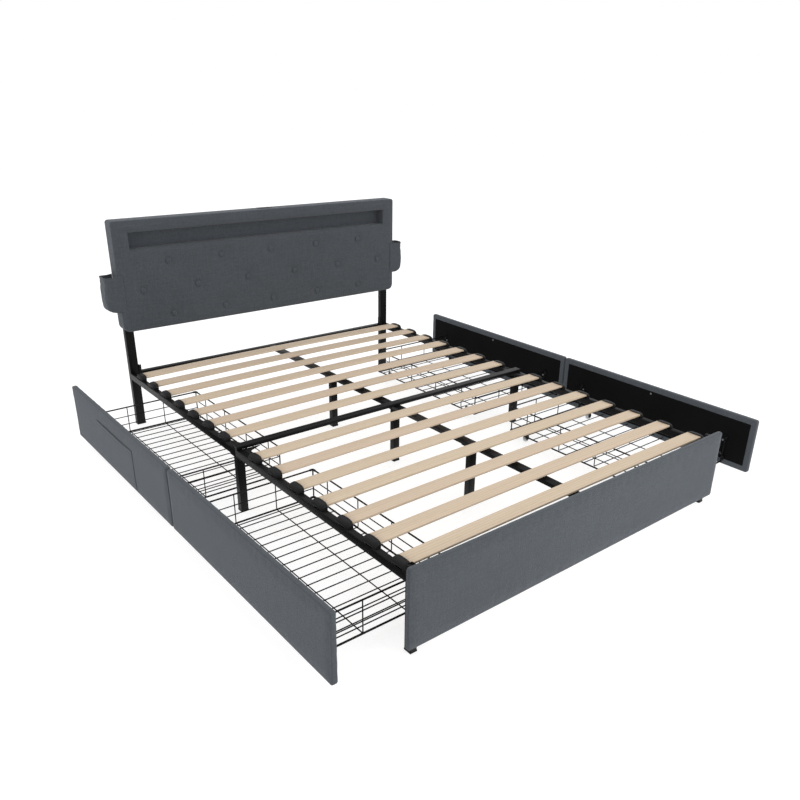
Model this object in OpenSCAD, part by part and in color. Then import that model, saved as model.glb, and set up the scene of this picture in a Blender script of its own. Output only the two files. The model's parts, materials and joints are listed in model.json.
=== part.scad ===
/* [Frame] */
// Distance from the middle of the bed to the outer face of a side rail
rail_x = 745; // [740:1:750]
// Height of the top of the rails above the floor
rail_top = 258; // [250:1:262]
// Width of a side rail
rail_w = 25; // [24:1:30]
// Height of a side rail
rail_h = 30; // [28:1:32]
// Wall of the steel tubes
tube_wall = 1.5; // [1.2:0.1:2]
// Foot end of the side frame, measured from the middle legs
foot_reach = 1008; // [1000:1:1012]
// Head end of the side frame, measured from the middle legs
head_reach = 1036; // [1030:1:1040]
// Distance of the outer centre legs from the middle one
centre_leg_pitch = 476; // [440:1:500]
// Width of the square legs under the middle and the sides
leg_w = 30; // [26:1:32]

/* [Slats] */
// Slats in each half of the bed
slat_count = 7; // [5:1:7]
// Distance from one slat to the next
slat_pitch = 140; // [120:1:140]
// Spacing of the slats in the head half
head_slat_pitch = 136.5; // [120:0.5:140]
// Width of a slat
slat_w = 60; // [50:1:64]
// Thickness of a slat
slat_t = 8; // [6:1:10]
// Length of a slat
slat_len = 1460; // [1456:1:1470]

/* [Headboard] */
// Width of the headboard
headboard_w = 1510; // [1500:1:1530]
// Height of its lower edge above the floor
headboard_low = 460; // [440:1:480]
// Height of its upper edge above the floor
headboard_high = 946; // [940:1:960]
// Depth from the front of the padding to the back
headboard_depth = 76; // [74:1:84]
// Width of the shelf niche
niche_w = 1368; // [1200:1:1372]
// Height of the shelf niche
niche_h = 71; // [60:1:72]
// Depth of the shelf niche
niche_depth = 62; // [50:1:63]
// Radius of a tufting button
button_r = 14; // [10:1:16]
// How far a side pouch stands out
pouch_out = 62; // [50:1:70]

/* [Footboard] */
// Width of the footboard
footboard_w = 1540; // [1530:1:1560]
// Height of its lower edge above the floor
footboard_low = 30; // [20:1:40]
// Height of its upper edge above the floor
footboard_high = 303; // [296:1:310]
// Thickness of the footboard with its fabric
footboard_t = 18; // [16:1:22]

/* [Drawers] */
// Length of a drawer front
front_len = 1024; // [1000:1:1026]
// Height of a drawer front's lower edge above the floor
front_low = 24; // [20:1:30]
// Height of a drawer front's upper edge above the floor
front_high = 262; // [250:1:264]
// Thickness of a drawer front with its fabric
front_t = 20; // [18:1:24]
// Width of the fabric turned over the inner edge of a drawer front
front_border = 25; // [20:1:30]
// Depth of the wire basket behind its front
basket_depth = 500; // [460:1:520]
// Length of the wire basket
basket_len = 790; // [700:1:800]
// How far the left drawers stand open
pull_left = 241; // [0:1:480]
// How far the right drawers stand open
pull_right = 327; // [0:1:480]
// Radius of a caster wheel
wheel_r = 17; // [15:1:18]

/* [Hidden] */
SIDES = [["left", -1], ["right", 1]];
ENDS = ["head", "foot"];
DRAWER_PARTS = ["front", "board", "basket", "screws", "front_wheels", "rear_wheels"];
FRAME_NODES = [
    "headboard_cover", "headboard_frame", "headboard_back", "headboard_niche", "headboard_buttons",
    "headboard_pouch_left", "headboard_pouch_right", "headboard_bolts", "charging_port",
    "post_left", "post_right", "head_rail", "foot_rail", "centre_rails", "crossbar",
    "side_rail_head_left", "side_rail_foot_left", "side_rail_head_right", "side_rail_foot_right",
    "foot_leg_left", "foot_leg_right", "mid_leg_left", "mid_leg_right",
    "centre_leg_head", "centre_leg_middle", "centre_leg_foot",
    "corner_brackets", "frame_bolts", "leg_glides",
    "slat_holders_left", "slat_holders_right", "head_slats", "foot_slats",
    "footboard_panel", "footboard_cover"
];

rail_low = rail_top - rail_h;
glide_h = 6;
slat_shift = -12;
first_slat = 116;
first_head_slat = 124;
slat_low = rail_top + 9;
foot_leg_w = 25;
foot_leg_x = rail_x + 3;
foot_leg_top = 290;
foot_leg_front = foot_reach + leg_w;
footboard_front = -foot_leg_front - footboard_t;
post_w = 40;
post_d = 30;
post_x = rail_x - 3;
post_top = 880;
cross_rail_d = 28;
head_rail_front = head_reach + 0.5;
rail_gap = 1;
centre_rail_w = 36;
centre_rail_h = 16;
centre_rail_low = rail_top - centre_rail_h;
crossbar_w = 34;
crossbar_h = 14;
holder_len = slat_w + 14;
holder_w = 32;
holder_h = 22;
holder_corner = 14;
peg_r = 3.4;
peg_len = 6;
peg_x = rail_x - rail_w / 2;
headboard_front = head_reach - 40;
headboard_mid = (headboard_low + headboard_high) / 2;
headboard_h = headboard_high - headboard_low;
headboard_back_y = headboard_front + headboard_depth;
headboard_corner = 10;
headboard_low_corner = 30;
padding_t = 20;
cover_wall = 8;
core_t = 14;
core_front = headboard_front + padding_t;
core_back = core_front + core_t;
core_overlap = 0.5;
back_panel_t = 4;
back_panel_y = headboard_back_y - 8;
post_slot_gap = 2;
niche_low = 821;
niche_wall = 4;
niche_front = headboard_front + 4;
niche_high = niche_low + niche_h;
battens = [
    [headboard_low + cover_wall, 30],
    [niche_low - niche_wall - 26, 26],
    [niche_high + niche_wall, 28]
];
upright_w = 44;
upright_inset = 40;
button_rows = [[758, 5], [638, 6], [517, 5]];
button_pitch = 259;
button_depth = 12;
button_t = 6;
button_gap = 0.5;
port_w = 64;
port_d = 34;
port_h = 20;
port_front = core_front + 8;
port_lip = 1.5;
socket_w = 14;
socket_d = 6;
socket_depth = 10;
socket_x = 16;
pouch_low = 553;
pouch_h = 162;
pouch_d = 72;
pouch_wall = 4;
pouch_corner = 26;
bolt_r = 4;
bolt_gap = 0.2;
bolt_head_r = 7.5;
bolt_head_h = 5;
headboard_bolt_z = [560, 760];
foot_bolt_z = [90, 200];
foot_bolt_reach = 10;
plate_t = 3;
leg_plate_len = 80;
bracket_rise = 34;
bracket_side = 26;
bracket_front = 11;
bracket_back_t = 2.5;
gusset_len = 70;
gusset_waist = 22;
glide_tenon_h = 12;
glide_inset = 2;
footboard_skin = 4;
footboard_corner = 9;
footboard_inner_corner = 5;
front_closed = rail_x + 27;
front_gap = 6;
front_middle = -9;
basket_low = 36;
basket_floor = 40;
basket_high = 157;
wire = 3;
bar = 5;
seam = 0.3;
floor_wires = 16;
end_wires = 3;
back_wires = 8;
rows_end = 4;
rows_back = 3;
board_skin = 6;
front_corner = 9;
board_corner = 3;
screw_r = 2;
screw_hole_r = 2.2;
screw_len = 8;
screw_head_r = 5;
screw_head_h = 2;
screw_inset = 14;
pocket_w = 384;
pocket_h = 176;
pocket_low = front_low + 8;
pocket_t = 3;
caster_inset = 80;
caster_edge = 22;
caster_back_edge = 29;
wheel_w = 13;
axle_r = 2.5;
axle_gap = 0.05;
fork_t = 2.5;
fork_reach = 8;
fork_low = wheel_r - 5;
fork_gap = wheel_w / 2 + 1;

// Points of a rectangle with round corners, centred on the origin. The lower two may differ
function round_rect(w, h, r, r_low) = [
    for (c = [[1, 1, 0], [-1, 1, 90], [-1, -1, 180], [1, -1, 270]]) for (a = [c[2]:15:c[2] + 90])
        let (q = c[1] < 0 && !is_undef(r_low) ? r_low : r)
            [c[0] * (w / 2 - q) + q * cos(a), c[1] * (h / 2 - q) + q * sin(a)]
];

function slat_y(half, i) = slat_shift
    + (half > 0 ? first_head_slat + i * head_slat_pitch : -(first_slat + i * slat_pitch));
function button_points() = [
    for (row = button_rows) for (i = [0:row[1] - 1]) [(i - (row[1] - 1) / 2) * button_pitch, row[0]]
];
function drawer_y(end) = front_middle + (end == "head" ? 1 : -1) * (front_len + front_gap) / 2;
function pull_of(side) = side < 0 ? pull_left : pull_right;

// A box given by its lowest and highest corners
module block(lo, hi) {
    translate(lo) cube([hi[0] - lo[0], hi[1] - lo[1], hi[2] - lo[2]]);
}

// A square tube along one axis: 0 for X, 1 for Y, 2 for Z
module tube(lo, hi, along) {
    wall = [for (i = [0:2]) i == along ? -1 : tube_wall];
    difference() {
        block(lo, hi);
        block(lo + wall, hi - wall);
    }
}

// An upright plate with round corners, its front at y and its middle at height z
module upright_plate(w, h, r, y, z, t, r_low) {
    translate([0, y + t, z]) rotate([90, 0, 0]) linear_extrude(t) polygon(round_rect(w, h, r, r_low));
}

module hex_bolt(length) {
    cylinder(r = bolt_r, h = length, $fn = 32);
    translate([0, 0, length]) cylinder(r = bolt_head_r, h = bolt_head_h, $fn = 6);
}

// ---- headboard ----

// The two posts' middles, to the left and the right
function post_middle(side) = side * (post_x - post_w / 2);

module headboard_plate(shrink, y, t) {
    upright_plate(
        headboard_w - 2 * shrink, headboard_h - 2 * shrink, headboard_corner - shrink,
        y, headboard_mid, t, headboard_low_corner - shrink
    );
}

// The hole for the shelf niche through a layer of the headboard
module niche_cut(y0, y1) {
    block(
        [-niche_w / 2 - niche_wall, y0 - 1, niche_low - niche_wall],
        [niche_w / 2 + niche_wall, y1 + 1, niche_high + niche_wall]
    );
}

module port_cut() {
    block(
        [-port_w / 2, port_front, headboard_high - port_h],
        [port_w / 2, port_front + port_d, headboard_high + port_lip + 1]
    );
}

module headboard_cover() {
    slot_half = post_w / 2 + post_slot_gap;
    color("#555b63") difference() {
        headboard_plate(0, headboard_front, headboard_depth);
        headboard_plate(cover_wall, core_front, headboard_depth);
        niche_cut(headboard_front, core_front);
        for (p = button_points()) translate([p[0], headboard_front + button_depth, p[1]])
            rotate([90, 0, 0]) cylinder(r = button_r + button_gap, h = button_depth + 1, $fn = 32);
        for (s = [-1, 1]) block(
            [post_middle(s) - slot_half, head_reach - 1, headboard_low - 1],
            [post_middle(s) + slot_half, headboard_back_y + 1, headboard_low + headboard_low_corner]
        );
        port_cut();
    }
}

module headboard_frame() {
    batten_x = post_x - post_w - 6;
    color("#b08d62") difference() {
        union() {
            headboard_plate(cover_wall, core_front, core_t);
            for (b = battens) block(
                [-batten_x, core_back - core_overlap, b[0]],
                [batten_x, back_panel_y, b[0] + b[1]]
            );
            for (s = [-1, 1]) block(
                [post_middle(s) - upright_w / 2, core_back - core_overlap, headboard_low + upright_inset],
                [post_middle(s) + upright_w / 2, head_reach, headboard_high - upright_inset]
            );
        }
        niche_cut(core_front, core_back);
        for (s = [-1, 1]) for (z = headboard_bolt_z) translate([post_middle(s), head_reach + 1, z])
            rotate([90, 0, 0]) cylinder(r = bolt_r + bolt_gap, h = padding_t + core_t + 2, $fn = 32);
        port_cut();
    }
}

module headboard_back() {
    half = post_x - post_w - 4;
    color("#26282b") block(
        [-half, back_panel_y, headboard_low + cover_wall],
        [half, back_panel_y + back_panel_t, headboard_high - cover_wall]
    );
}

module headboard_niche() {
    niche_back = niche_front + niche_depth;
    color("#4a5058") difference() {
        block(
            [-niche_w / 2 - niche_wall, niche_front, niche_low - niche_wall],
            [niche_w / 2 + niche_wall, niche_back, niche_high + niche_wall]
        );
        block(
            [-niche_w / 2, niche_front - 1, niche_low],
            [niche_w / 2, niche_back - niche_wall, niche_high]
        );
    }
}

module headboard_buttons() {
    color("#4f555c") for (p = button_points()) translate([p[0], headboard_front + button_depth, p[1]])
        rotate([90, 0, 0]) cylinder(r = button_r, h = button_t, $fn = 32);
}

module pouch(side) {
    color("#525860") difference() {
        pouch_body(side, 0, pouch_out, pouch_d, 0);
        pouch_body(side, 0.01, pouch_out - pouch_wall, pouch_d - 2 * pouch_wall, pouch_wall);
    }
}

// A bag with a round lower corner, open at the top when raised by its wall
module pouch_body(side, into, out, deep, raised) {
    r = pouch_corner;
    middle = headboard_front + headboard_depth / 2;
    corner = [for (a = [0:15:90]) [out - r + r * sin(a), r - r * cos(a)]];
    outline = concat([[-into, 0]], corner, [[out, pouch_h], [-into, pouch_h]]);
    translate([0, middle + deep / 2, pouch_low + raised]) rotate([90, 0, 0]) linear_extrude(deep)
        mirror([side < 0 ? 1 : 0, 0]) translate([headboard_w / 2, 0]) polygon(outline);
}

module headboard_bolts() {
    tip = core_front + 2;
    color("#2b2b2b") for (s = [-1, 1]) for (z = headboard_bolt_z)
        translate([post_middle(s), tip, z]) rotate([-90, 0, 0]) hex_bolt(head_reach + post_d - tip);
}

module charging_port() {
    middle = port_front + port_d / 2;
    color("#1b1c1e") difference() {
        block(
            [-port_w / 2, port_front, headboard_high - port_h],
            [port_w / 2, port_front + port_d, headboard_high + port_lip]
        );
        for (x = [-socket_x, socket_x]) block(
            [x - socket_w / 2, middle - socket_d / 2, headboard_high - socket_depth],
            [x + socket_w / 2, middle + socket_d / 2, headboard_high + port_lip + 1]
        );
    }
}

// ---- steel frame ----

module post(side) {
    middle = post_middle(side);
    half = post_w / 2;
    color("#1d1f21") difference() {
        tube([middle - half, head_reach, glide_h], [middle + half, head_reach + post_d, post_top], 2);
        for (z = headboard_bolt_z) translate([middle, head_reach + post_d + 1, z])
            rotate([90, 0, 0]) cylinder(r = bolt_r + bolt_gap, h = post_d + 2, $fn = 32);
    }
}

module side_rail(side, end) {
    inner = side < 0 ? -rail_x : rail_x - rail_w;
    y0 = end > 0 ? rail_gap / 2 : -foot_reach;
    y1 = end > 0 ? head_reach : -rail_gap / 2;
    color("#1d1f21") difference() {
        tube([inner, y0, rail_low], [inner + rail_w, y1, rail_top], 1);
        for (i = [0:slat_count - 1]) translate([side * peg_x, slat_y(end, i), rail_top - 2 * peg_len])
            cylinder(r = peg_r + bolt_gap, h = 2 * peg_len + 1, $fn = 24);
    }
}

module cross_rail(y, reach) {
    color("#1d1f21") tube([-reach, y, rail_low], [reach, y + cross_rail_d, rail_top], 0);
}

module centre_rails() {
    color("#17181a") {
        centre_rail(rail_gap / 2, head_rail_front);
        centre_rail(-foot_reach, -rail_gap / 2);
    }
}

module centre_rail(y0, y1) {
    half = centre_rail_w / 2;
    tube([-half, y0, centre_rail_low], [half, y1, rail_top], 1);
}

module crossbar() {
    half = crossbar_w / 2;
    color("#232527") tube([-rail_x, -half, rail_top], [rail_x, half, rail_top + crossbar_h], 0);
}

module foot_leg(side) {
    middle = foot_leg_middle(side);
    half = foot_leg_w / 2;
    color("#1d1f21") difference() {
        tube([middle - half, -foot_leg_front, glide_h], [middle + half, -foot_reach, foot_leg_top], 2);
        for (z = foot_bolt_z) translate([middle, -foot_reach + 1, z])
            rotate([90, 0, 0]) cylinder(r = bolt_r + bolt_gap, h = leg_w + 2, $fn = 32);
    }
}

function foot_leg_middle(side) = side * (foot_leg_x - foot_leg_w / 2);

// A short leg with a plate under the two rails that meet on it
module short_leg(x, y, top, plate_w) {
    plate_low = top - plate_t;
    half = leg_w / 2;
    color("#17181a") translate([x, y, 0]) {
        tube([-half, -half, glide_h], [half, half, plate_low], 2);
        block([-plate_w / 2, -leg_plate_len / 2, plate_low], [plate_w / 2, leg_plate_len / 2, top]);
    }
}

module mid_leg(side) {
    short_leg(side * (rail_x - leg_w / 2), 0, rail_low, leg_w);
}

module centre_leg(k) {
    short_leg(0, k * centre_leg_pitch, centre_rail_low, centre_rail_w);
}

module corner_brackets() {
    color("#1d1f21") for (s = [-1, 1]) {
        post_bracket(s);
        for (e = [-1, 1]) gusset(s, e);
    }
}

// Two plates at a post: one on its inner face, one between it and the rails
module post_bracket(side) {
    face = side * (post_x - post_w);
    front = side < 0 ? face : face - bracket_front;
    flank = side < 0 ? face : face - plate_t;
    middle_y = head_reach + 0.5;
    top = rail_top + bracket_rise;
    block([flank, middle_y, rail_low], [flank + plate_t, head_reach + bracket_side, top]);
    block([front, middle_y - bracket_back_t, rail_low], [front + bracket_front, middle_y, top]);
}

// A flat plate in the corner between the crossbar and a side rail
module gusset(side, end) {
    translate([side * (rail_x - rail_w), end * crossbar_w / 2, rail_top - plate_t])
        linear_extrude(plate_t) polygon([
            [0, 0], [-side * gusset_len, 0],
            [-side * gusset_waist, end * gusset_waist], [0, end * gusset_len]
        ]);
}

module frame_bolts() {
    color("#2b2b2b") for (s = [-1, 1]) for (z = foot_bolt_z)
        translate([foot_leg_middle(s), -foot_leg_front - foot_bolt_reach, z])
            rotate([-90, 0, 0]) hex_bolt(leg_w + foot_bolt_reach);
}

// A plastic foot with a tenon that goes into its leg
module glide(x, y, w, d) {
    tenon = [w / 2 - glide_inset, d / 2 - glide_inset];
    translate([x, y, 0]) {
        block([-w / 2, -d / 2, 0], [w / 2, d / 2, glide_h]);
        block([-tenon[0], -tenon[1], glide_h - 0.5], [tenon[0], tenon[1], glide_h + glide_tenon_h]);
    }
}

module leg_glides() {
    color("#0f0f10") {
        for (s = [-1, 1]) {
            glide(post_middle(s), head_reach + post_d / 2, post_w, post_d);
            glide(foot_leg_middle(s), -foot_reach - leg_w / 2, foot_leg_w, leg_w);
            glide(s * (rail_x - leg_w / 2), 0, leg_w, leg_w);
        }
        for (k = [-1:1]) glide(0, k * centre_leg_pitch, leg_w, leg_w);
    }
}

// ---- slats ----

// A plastic cap on the rail that takes a slat's end, with a peg into the rail
module slat_holder(side, y) {
    r = holder_corner;
    half = holder_len / 2;
    arc = [for (a = [0:15:90]) [half - r + r * cos(a), holder_h - r + r * sin(a)]];
    mirrored_arc = [for (i = [len(arc) - 1:-1:0]) [-arc[i][0], arc[i][1]]];
    outline = concat([[-half, 0], [half, 0]], arc, mirrored_arc);
    inner = side < 0 ? -rail_x : rail_x - holder_w;
    slot_x0 = side < 0 ? -slat_len / 2 : inner - 1;
    slot_x1 = side < 0 ? inner + holder_w + 1 : slat_len / 2;
    difference() {
        translate([inner, y, rail_top]) rotate([90, 0, 90]) linear_extrude(holder_w) polygon(outline);
        block([slot_x0, y - slat_w / 2, slat_low], [slot_x1, y + slat_w / 2, slat_low + slat_t]);
    }
    translate([side * peg_x, y, rail_top - peg_len]) cylinder(r = peg_r, h = peg_len + 1, $fn = 24);
}

module slat_holders(side) {
    color("#1a1a1c") for (half = [-1, 1]) for (i = [0:slat_count - 1]) slat_holder(side, slat_y(half, i));
}

module slats(half) {
    color("#dcc7aa") for (i = [0:slat_count - 1]) translate([0, slat_y(half, i), slat_low])
        block([-slat_len / 2, -slat_w / 2, 0], [slat_len / 2, slat_w / 2, slat_t]);
}

// ---- footboard ----

module footboard_plate(shrink, r, y, t) {
    h = footboard_high - footboard_low;
    upright_plate(footboard_w - 2 * shrink, h - 2 * shrink, r, y, footboard_low + h / 2, t);
}

module footboard_panel() {
    y = footboard_front + footboard_skin;
    color("#1b1b1c") difference() {
        footboard_plate(footboard_skin, footboard_inner_corner, y, footboard_t - footboard_skin);
        for (s = [-1, 1]) for (z = foot_bolt_z) translate([foot_leg_middle(s), -foot_leg_front + 1, z])
            rotate([90, 0, 0]) cylinder(r = bolt_r + bolt_gap, h = foot_bolt_reach + 2, $fn = 32);
    }
}

module footboard_cover() {
    inner = footboard_front + footboard_skin;
    color("#555b63") difference() {
        footboard_plate(0, footboard_corner, footboard_front, footboard_t);
        footboard_plate(footboard_skin, footboard_inner_corner, inner, footboard_t);
    }
}

// ---- drawers: the outer face of the front at x = 0, the basket towards -x ----

module place_drawer(side, end) {
    translate([side * (front_closed + pull_of(side)), drawer_y(end), 0])
        mirror([side < 0 ? 1 : 0, 0, 0]) children();
}

// An upright plate with round corners between two places along the drawer
module drawer_plate(shrink, r, x0, x1) {
    h = front_high - front_low;
    translate([x0, 0, front_low + h / 2]) rotate([90, 0, 90]) linear_extrude(x1 - x0)
        polygon(round_rect(front_len - 2 * shrink, h - 2 * shrink, r));
}

module drawer_front() {
    color("#555b63") difference() {
        drawer_plate(0, front_corner, -front_t, 0);
        drawer_plate(front_border, board_corner, -front_t - 1, -board_skin);
    }
}

module drawer_board() {
    color("#1b1b1c") difference() {
        drawer_plate(front_border, board_corner, -front_t, -board_skin);
        for (p = screw_points()) translate([-front_t - 1, p[0], p[1]])
            rotate([0, 90, 0]) cylinder(r = screw_hole_r, h = screw_len + 2, $fn = 24);
    }
}

// One screw at the top and two at each end of the basket
function screw_points() = concat(
    [[0, front_high - front_border - 11]],
    [
        for (s = [-1, 1]) for (z = [basket_floor + 30, basket_high - 25])
            [s * (basket_len / 2 - screw_inset), z]
    ]
);

module drawer_screws() {
    color("#3a3a3c") for (p = screw_points()) translate([-front_t, p[0], p[1]]) {
        rotate([0, -90, 0]) cylinder(r = screw_head_r, h = screw_head_h, $fn = 32);
        rotate([0, 90, 0]) cylinder(r = screw_r, h = screw_len, $fn = 24);
    }
}

module drawer_pocket() {
    half = pocket_w / 2;
    color("#4f555c") block([0, -half, pocket_low], [pocket_t, half, pocket_low + pocket_h]);
}

// A flat grille of square wires in the plane of its two sides
module grille(w, h, columns, rows, rim) {
    step_x = (w - 2 * rim - (columns - 1) * wire) / columns;
    step_y = (h - 2 * rim - (rows - 1) * wire) / rows;
    difference() {
        square([w, h]);
        for (i = [0:columns - 1]) for (j = [0:rows - 1])
            translate([rim + i * (step_x + wire), rim + j * (step_y + wire)]) square([step_x, step_y]);
    }
}

// A floor, two ends and a back of wire, with a fork for each caster
module drawer_basket() {
    back = -front_t - basket_depth;
    half = basket_len / 2;
    inner_half = half - bar - seam;
    high = basket_high - basket_low;
    color("#141415") {
        translate([back + bar + seam, -inner_half, basket_floor]) linear_extrude(wire)
            grille(basket_depth - bar - seam, 2 * inner_half, end_wires, floor_wires, wire);
        for (s = [-1, 1]) translate([back, s < 0 ? -half + bar : half, basket_low])
            rotate([90, 0, 0]) linear_extrude(bar) grille(basket_depth, high, end_wires, rows_end, bar);
        translate([back, -inner_half, basket_low]) rotate([90, 0, 90]) linear_extrude(bar)
            grille(2 * inner_half, high, back_wires, rows_back, bar);
        for (x = caster_places()) for (s = [-1, 1]) translate([x, s * (half - caster_inset), 0])
            caster_fork();
    }
}

function caster_places() = [-front_t - caster_edge, -front_t - basket_depth + caster_back_edge];

// A bridge under the basket's floor, two cheeks beside the wheel and the axle through them
module caster_fork() {
    outer = fork_gap + fork_t;
    top = basket_floor - seam;
    block([-fork_reach, -outer, fork_low], [fork_reach, -fork_gap, top]);
    block([-fork_reach, fork_gap, fork_low], [fork_reach, outer, top]);
    block([-fork_reach, -outer, top - fork_t], [fork_reach, outer, top]);
    translate([0, fork_gap + fork_t / 2, wheel_r]) rotate([90, 0, 0])
        cylinder(r = axle_r, h = 2 * fork_gap + fork_t, $fn = 32);
}

module wheel_pair(place) {
    y = basket_len / 2 - caster_inset;
    color("#a9abad") for (s = [-1, 1]) translate([caster_places()[place], s * y, wheel_r])
        rotate([90, 0, 0]) difference() {
            cylinder(r = wheel_r, h = wheel_w, center = true, $fn = 48);
            cylinder(r = axle_r + axle_gap, h = wheel_w + 2, center = true, $fn = 32);
        }
}

headboard_cover();
headboard_frame();
headboard_back();
headboard_niche();
headboard_buttons();
pouch(-1);  // headboard_pouch_left
pouch(1);  // headboard_pouch_right
headboard_bolts();
charging_port();
cross_rail(head_rail_front, post_x - post_w - plate_t);  // head_rail
cross_rail(-foot_reach - cross_rail_d, foot_leg_x - foot_leg_w);  // foot_rail
centre_rails();
crossbar();
corner_brackets();
frame_bolts();
leg_glides();
slats(1);  // head_slats
slats(-1);  // foot_slats
footboard_panel();
footboard_cover();
centre_leg(1);  // centre_leg_head
centre_leg(0);  // centre_leg_middle
centre_leg(-1);  // centre_leg_foot
for (s = SIDES) {
    post(s[1]);
    foot_leg(s[1]);
    mid_leg(s[1]);
    slat_holders(s[1]);
    side_rail(s[1], 1);
    side_rail(s[1], -1);
}
for (e = ENDS) for (s = SIDES) {
    drawer = str("drawer_", e, "_", s[0], "_");
    place_drawer(s[1], e) drawer_front();
    place_drawer(s[1], e) drawer_board();
    place_drawer(s[1], e) drawer_basket();
    place_drawer(s[1], e) drawer_screws();
    place_drawer(s[1], e) wheel_pair(0);
    place_drawer(s[1], e) wheel_pair(1);
}
place_drawer(-1, "head") drawer_pocket();  // drawer_head_left_pocket
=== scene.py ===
"""The looks of a platform bed with storage drawers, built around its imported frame.

Sizes are in metres. +X is right and +Y is towards the headboard. A drawer's own
coordinates start at the middle of its front's outer face: u goes outwards, v along
the bed and w up.
"""

import json
import math

import bpy
import numpy as np
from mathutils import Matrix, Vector


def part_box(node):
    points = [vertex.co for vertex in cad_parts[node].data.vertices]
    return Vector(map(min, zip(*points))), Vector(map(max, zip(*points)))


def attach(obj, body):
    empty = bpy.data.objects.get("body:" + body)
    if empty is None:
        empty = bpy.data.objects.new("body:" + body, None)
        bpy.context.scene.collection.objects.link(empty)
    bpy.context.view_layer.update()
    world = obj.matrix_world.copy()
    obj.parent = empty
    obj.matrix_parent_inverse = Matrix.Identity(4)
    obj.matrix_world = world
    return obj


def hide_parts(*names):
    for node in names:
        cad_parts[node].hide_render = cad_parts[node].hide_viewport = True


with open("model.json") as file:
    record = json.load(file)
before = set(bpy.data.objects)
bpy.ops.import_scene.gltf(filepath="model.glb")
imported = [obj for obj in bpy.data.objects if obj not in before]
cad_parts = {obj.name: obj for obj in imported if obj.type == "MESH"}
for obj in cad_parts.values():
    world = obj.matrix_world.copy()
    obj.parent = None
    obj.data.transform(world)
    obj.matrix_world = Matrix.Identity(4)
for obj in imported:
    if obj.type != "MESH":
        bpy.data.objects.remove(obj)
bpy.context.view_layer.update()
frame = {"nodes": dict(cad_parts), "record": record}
nodes = frame["nodes"]
rng = np.random.default_rng(11)

SIDES = {"left": -1, "right": 1}
ENDS = ("head", "foot")

# Fabric panels: the round edge, the cloth turned over the back, the corners and the mesh pitch
EDGE_R = 0.006
TURN_W = 0.025
PANEL_CORNER_R = 0.010
GRID = 0.010
THREAD_PITCH = 0.0016

# Headboard
HEADBOARD_EDGE_R = 0.009
HEADBOARD_CORNER_R = 0.013
HEADBOARD_LOW_CORNER_R = 0.030
HEADBOARD_GRID = 0.0085
HEADBOARD_TURN_W = 0.030
NICHE_WALL = 0.004
NICHE_ROLL = 0.0045

# Tufting: height of each row of buttons and how many it has
BUTTON_ROWS = ((0.758, 5), (0.638, 6), (0.517, 5))
BUTTON_PITCH = 0.259
BUTTON_R = 0.013

# Pouches: the cloth lapped over the headboard's front, and how proud of it
POUCH_FLAP = 0.022
POUCH_FLAP_RISE = 0.0016
POUCH_CORNER_R = 0.016
POUCH_CLOTH_T = 0.0022
POUCH_MOUTH_SAG = 0.0035

# Slats and their caps, which are a little smaller than the frame's plain ones
SLAT_CAMBER = 0.005
SLAT_STEPS = 30
CAP_SIDES = 20
CAP_BULGE = 0.005
CAP_SHORTER = 0.0055
CAP_HEIGHT_SHARE = 0.92
CAP_NARROWER = 0.0025
RAIL_MIDDLE = 0.0125

# Legs, wheels and baskets
LEG_W = 0.030
PLATE_T = 0.003
WHEEL_W = 0.013
BASKET_BAR_Z = 0.0360
BASKET_BEND_R = 0.008
FLOOR_WIRES = 16
RIM_R = 0.0031
BAR_R = 0.0035
WIRE_R = 0.0021

# Studio floor
FLOOR_Z = 0.0
FLOOR_REACH = 14.0
FLOOR_GLOW = 0.74


# ---------------------------------------------------------------- meshes


class Build:
    """Collects points and faces, and makes one mesh object of them."""

    def __init__(self):
        self.points = []
        self.faces = []
        self.count = 0

    def add(self, points, faces):
        points = np.asarray(points, float).reshape(-1, 3)
        self.points.append(points)
        self.faces.extend([tuple(int(i) + self.count for i in f) for f in faces])
        self.count += len(points)

    def grid(self, points, rows, columns, close=False, flip=False):
        """Rows of points joined by quads. close joins the last column to the first."""
        faces = []
        for i in range(rows - 1):
            for j in range(columns if close else columns - 1):
                k = (j + 1) % columns
                quad = (i * columns + j, i * columns + k, (i + 1) * columns + k, (i + 1) * columns + j)
                faces.append(quad[::-1] if flip else quad)
        self.add(points, faces)

    def cap(self, first, count, flip=False):
        """One face over a run of points."""
        face = tuple(range(first, first + count))
        self.faces.append(face[::-1] if flip else face)

    def make(self, name, material, smooth=True, place=None):
        points = np.concatenate(self.points)
        faces = self.faces
        if place is not None:
            points, mirrored = place(points)
            if mirrored:
                faces = [f[::-1] for f in faces]
        mesh = bpy.data.meshes.new(name)
        mesh.from_pydata(points.tolist(), [], faces)
        mesh.update()
        mesh.polygons.foreach_set("use_smooth", [smooth] * len(mesh.polygons))
        piece = bpy.data.objects.new(name, mesh)
        bpy.context.scene.collection.objects.link(piece)
        mesh.materials.append(material)
        return piece


def ring_frames(path):
    """Two directions across the path at each of its points, turned as little as possible."""
    count = len(path)
    ahead = np.roll(path, -1, 0) - path
    behind = path - np.roll(path, 1, 0)
    ahead[-1] = behind[-1]
    behind[0] = ahead[0]
    tangent = ahead / np.linalg.norm(ahead, axis=1)[:, None]
    tangent = tangent + behind / np.linalg.norm(behind, axis=1)[:, None]
    tangent /= np.linalg.norm(tangent, axis=1)[:, None]
    start = np.cross(tangent[0], [0.0, 0.0, 1.0])
    if np.linalg.norm(start) < 0.3:
        start = np.cross(tangent[0], [0.0, 1.0, 0.0])
    first = [start / np.linalg.norm(start)]
    for i in range(1, count):
        d = first[-1] - tangent[i] * first[-1].dot(tangent[i])
        first.append(d / np.linalg.norm(d))
    first = np.array(first)
    return first, np.cross(tangent, first)


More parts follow.
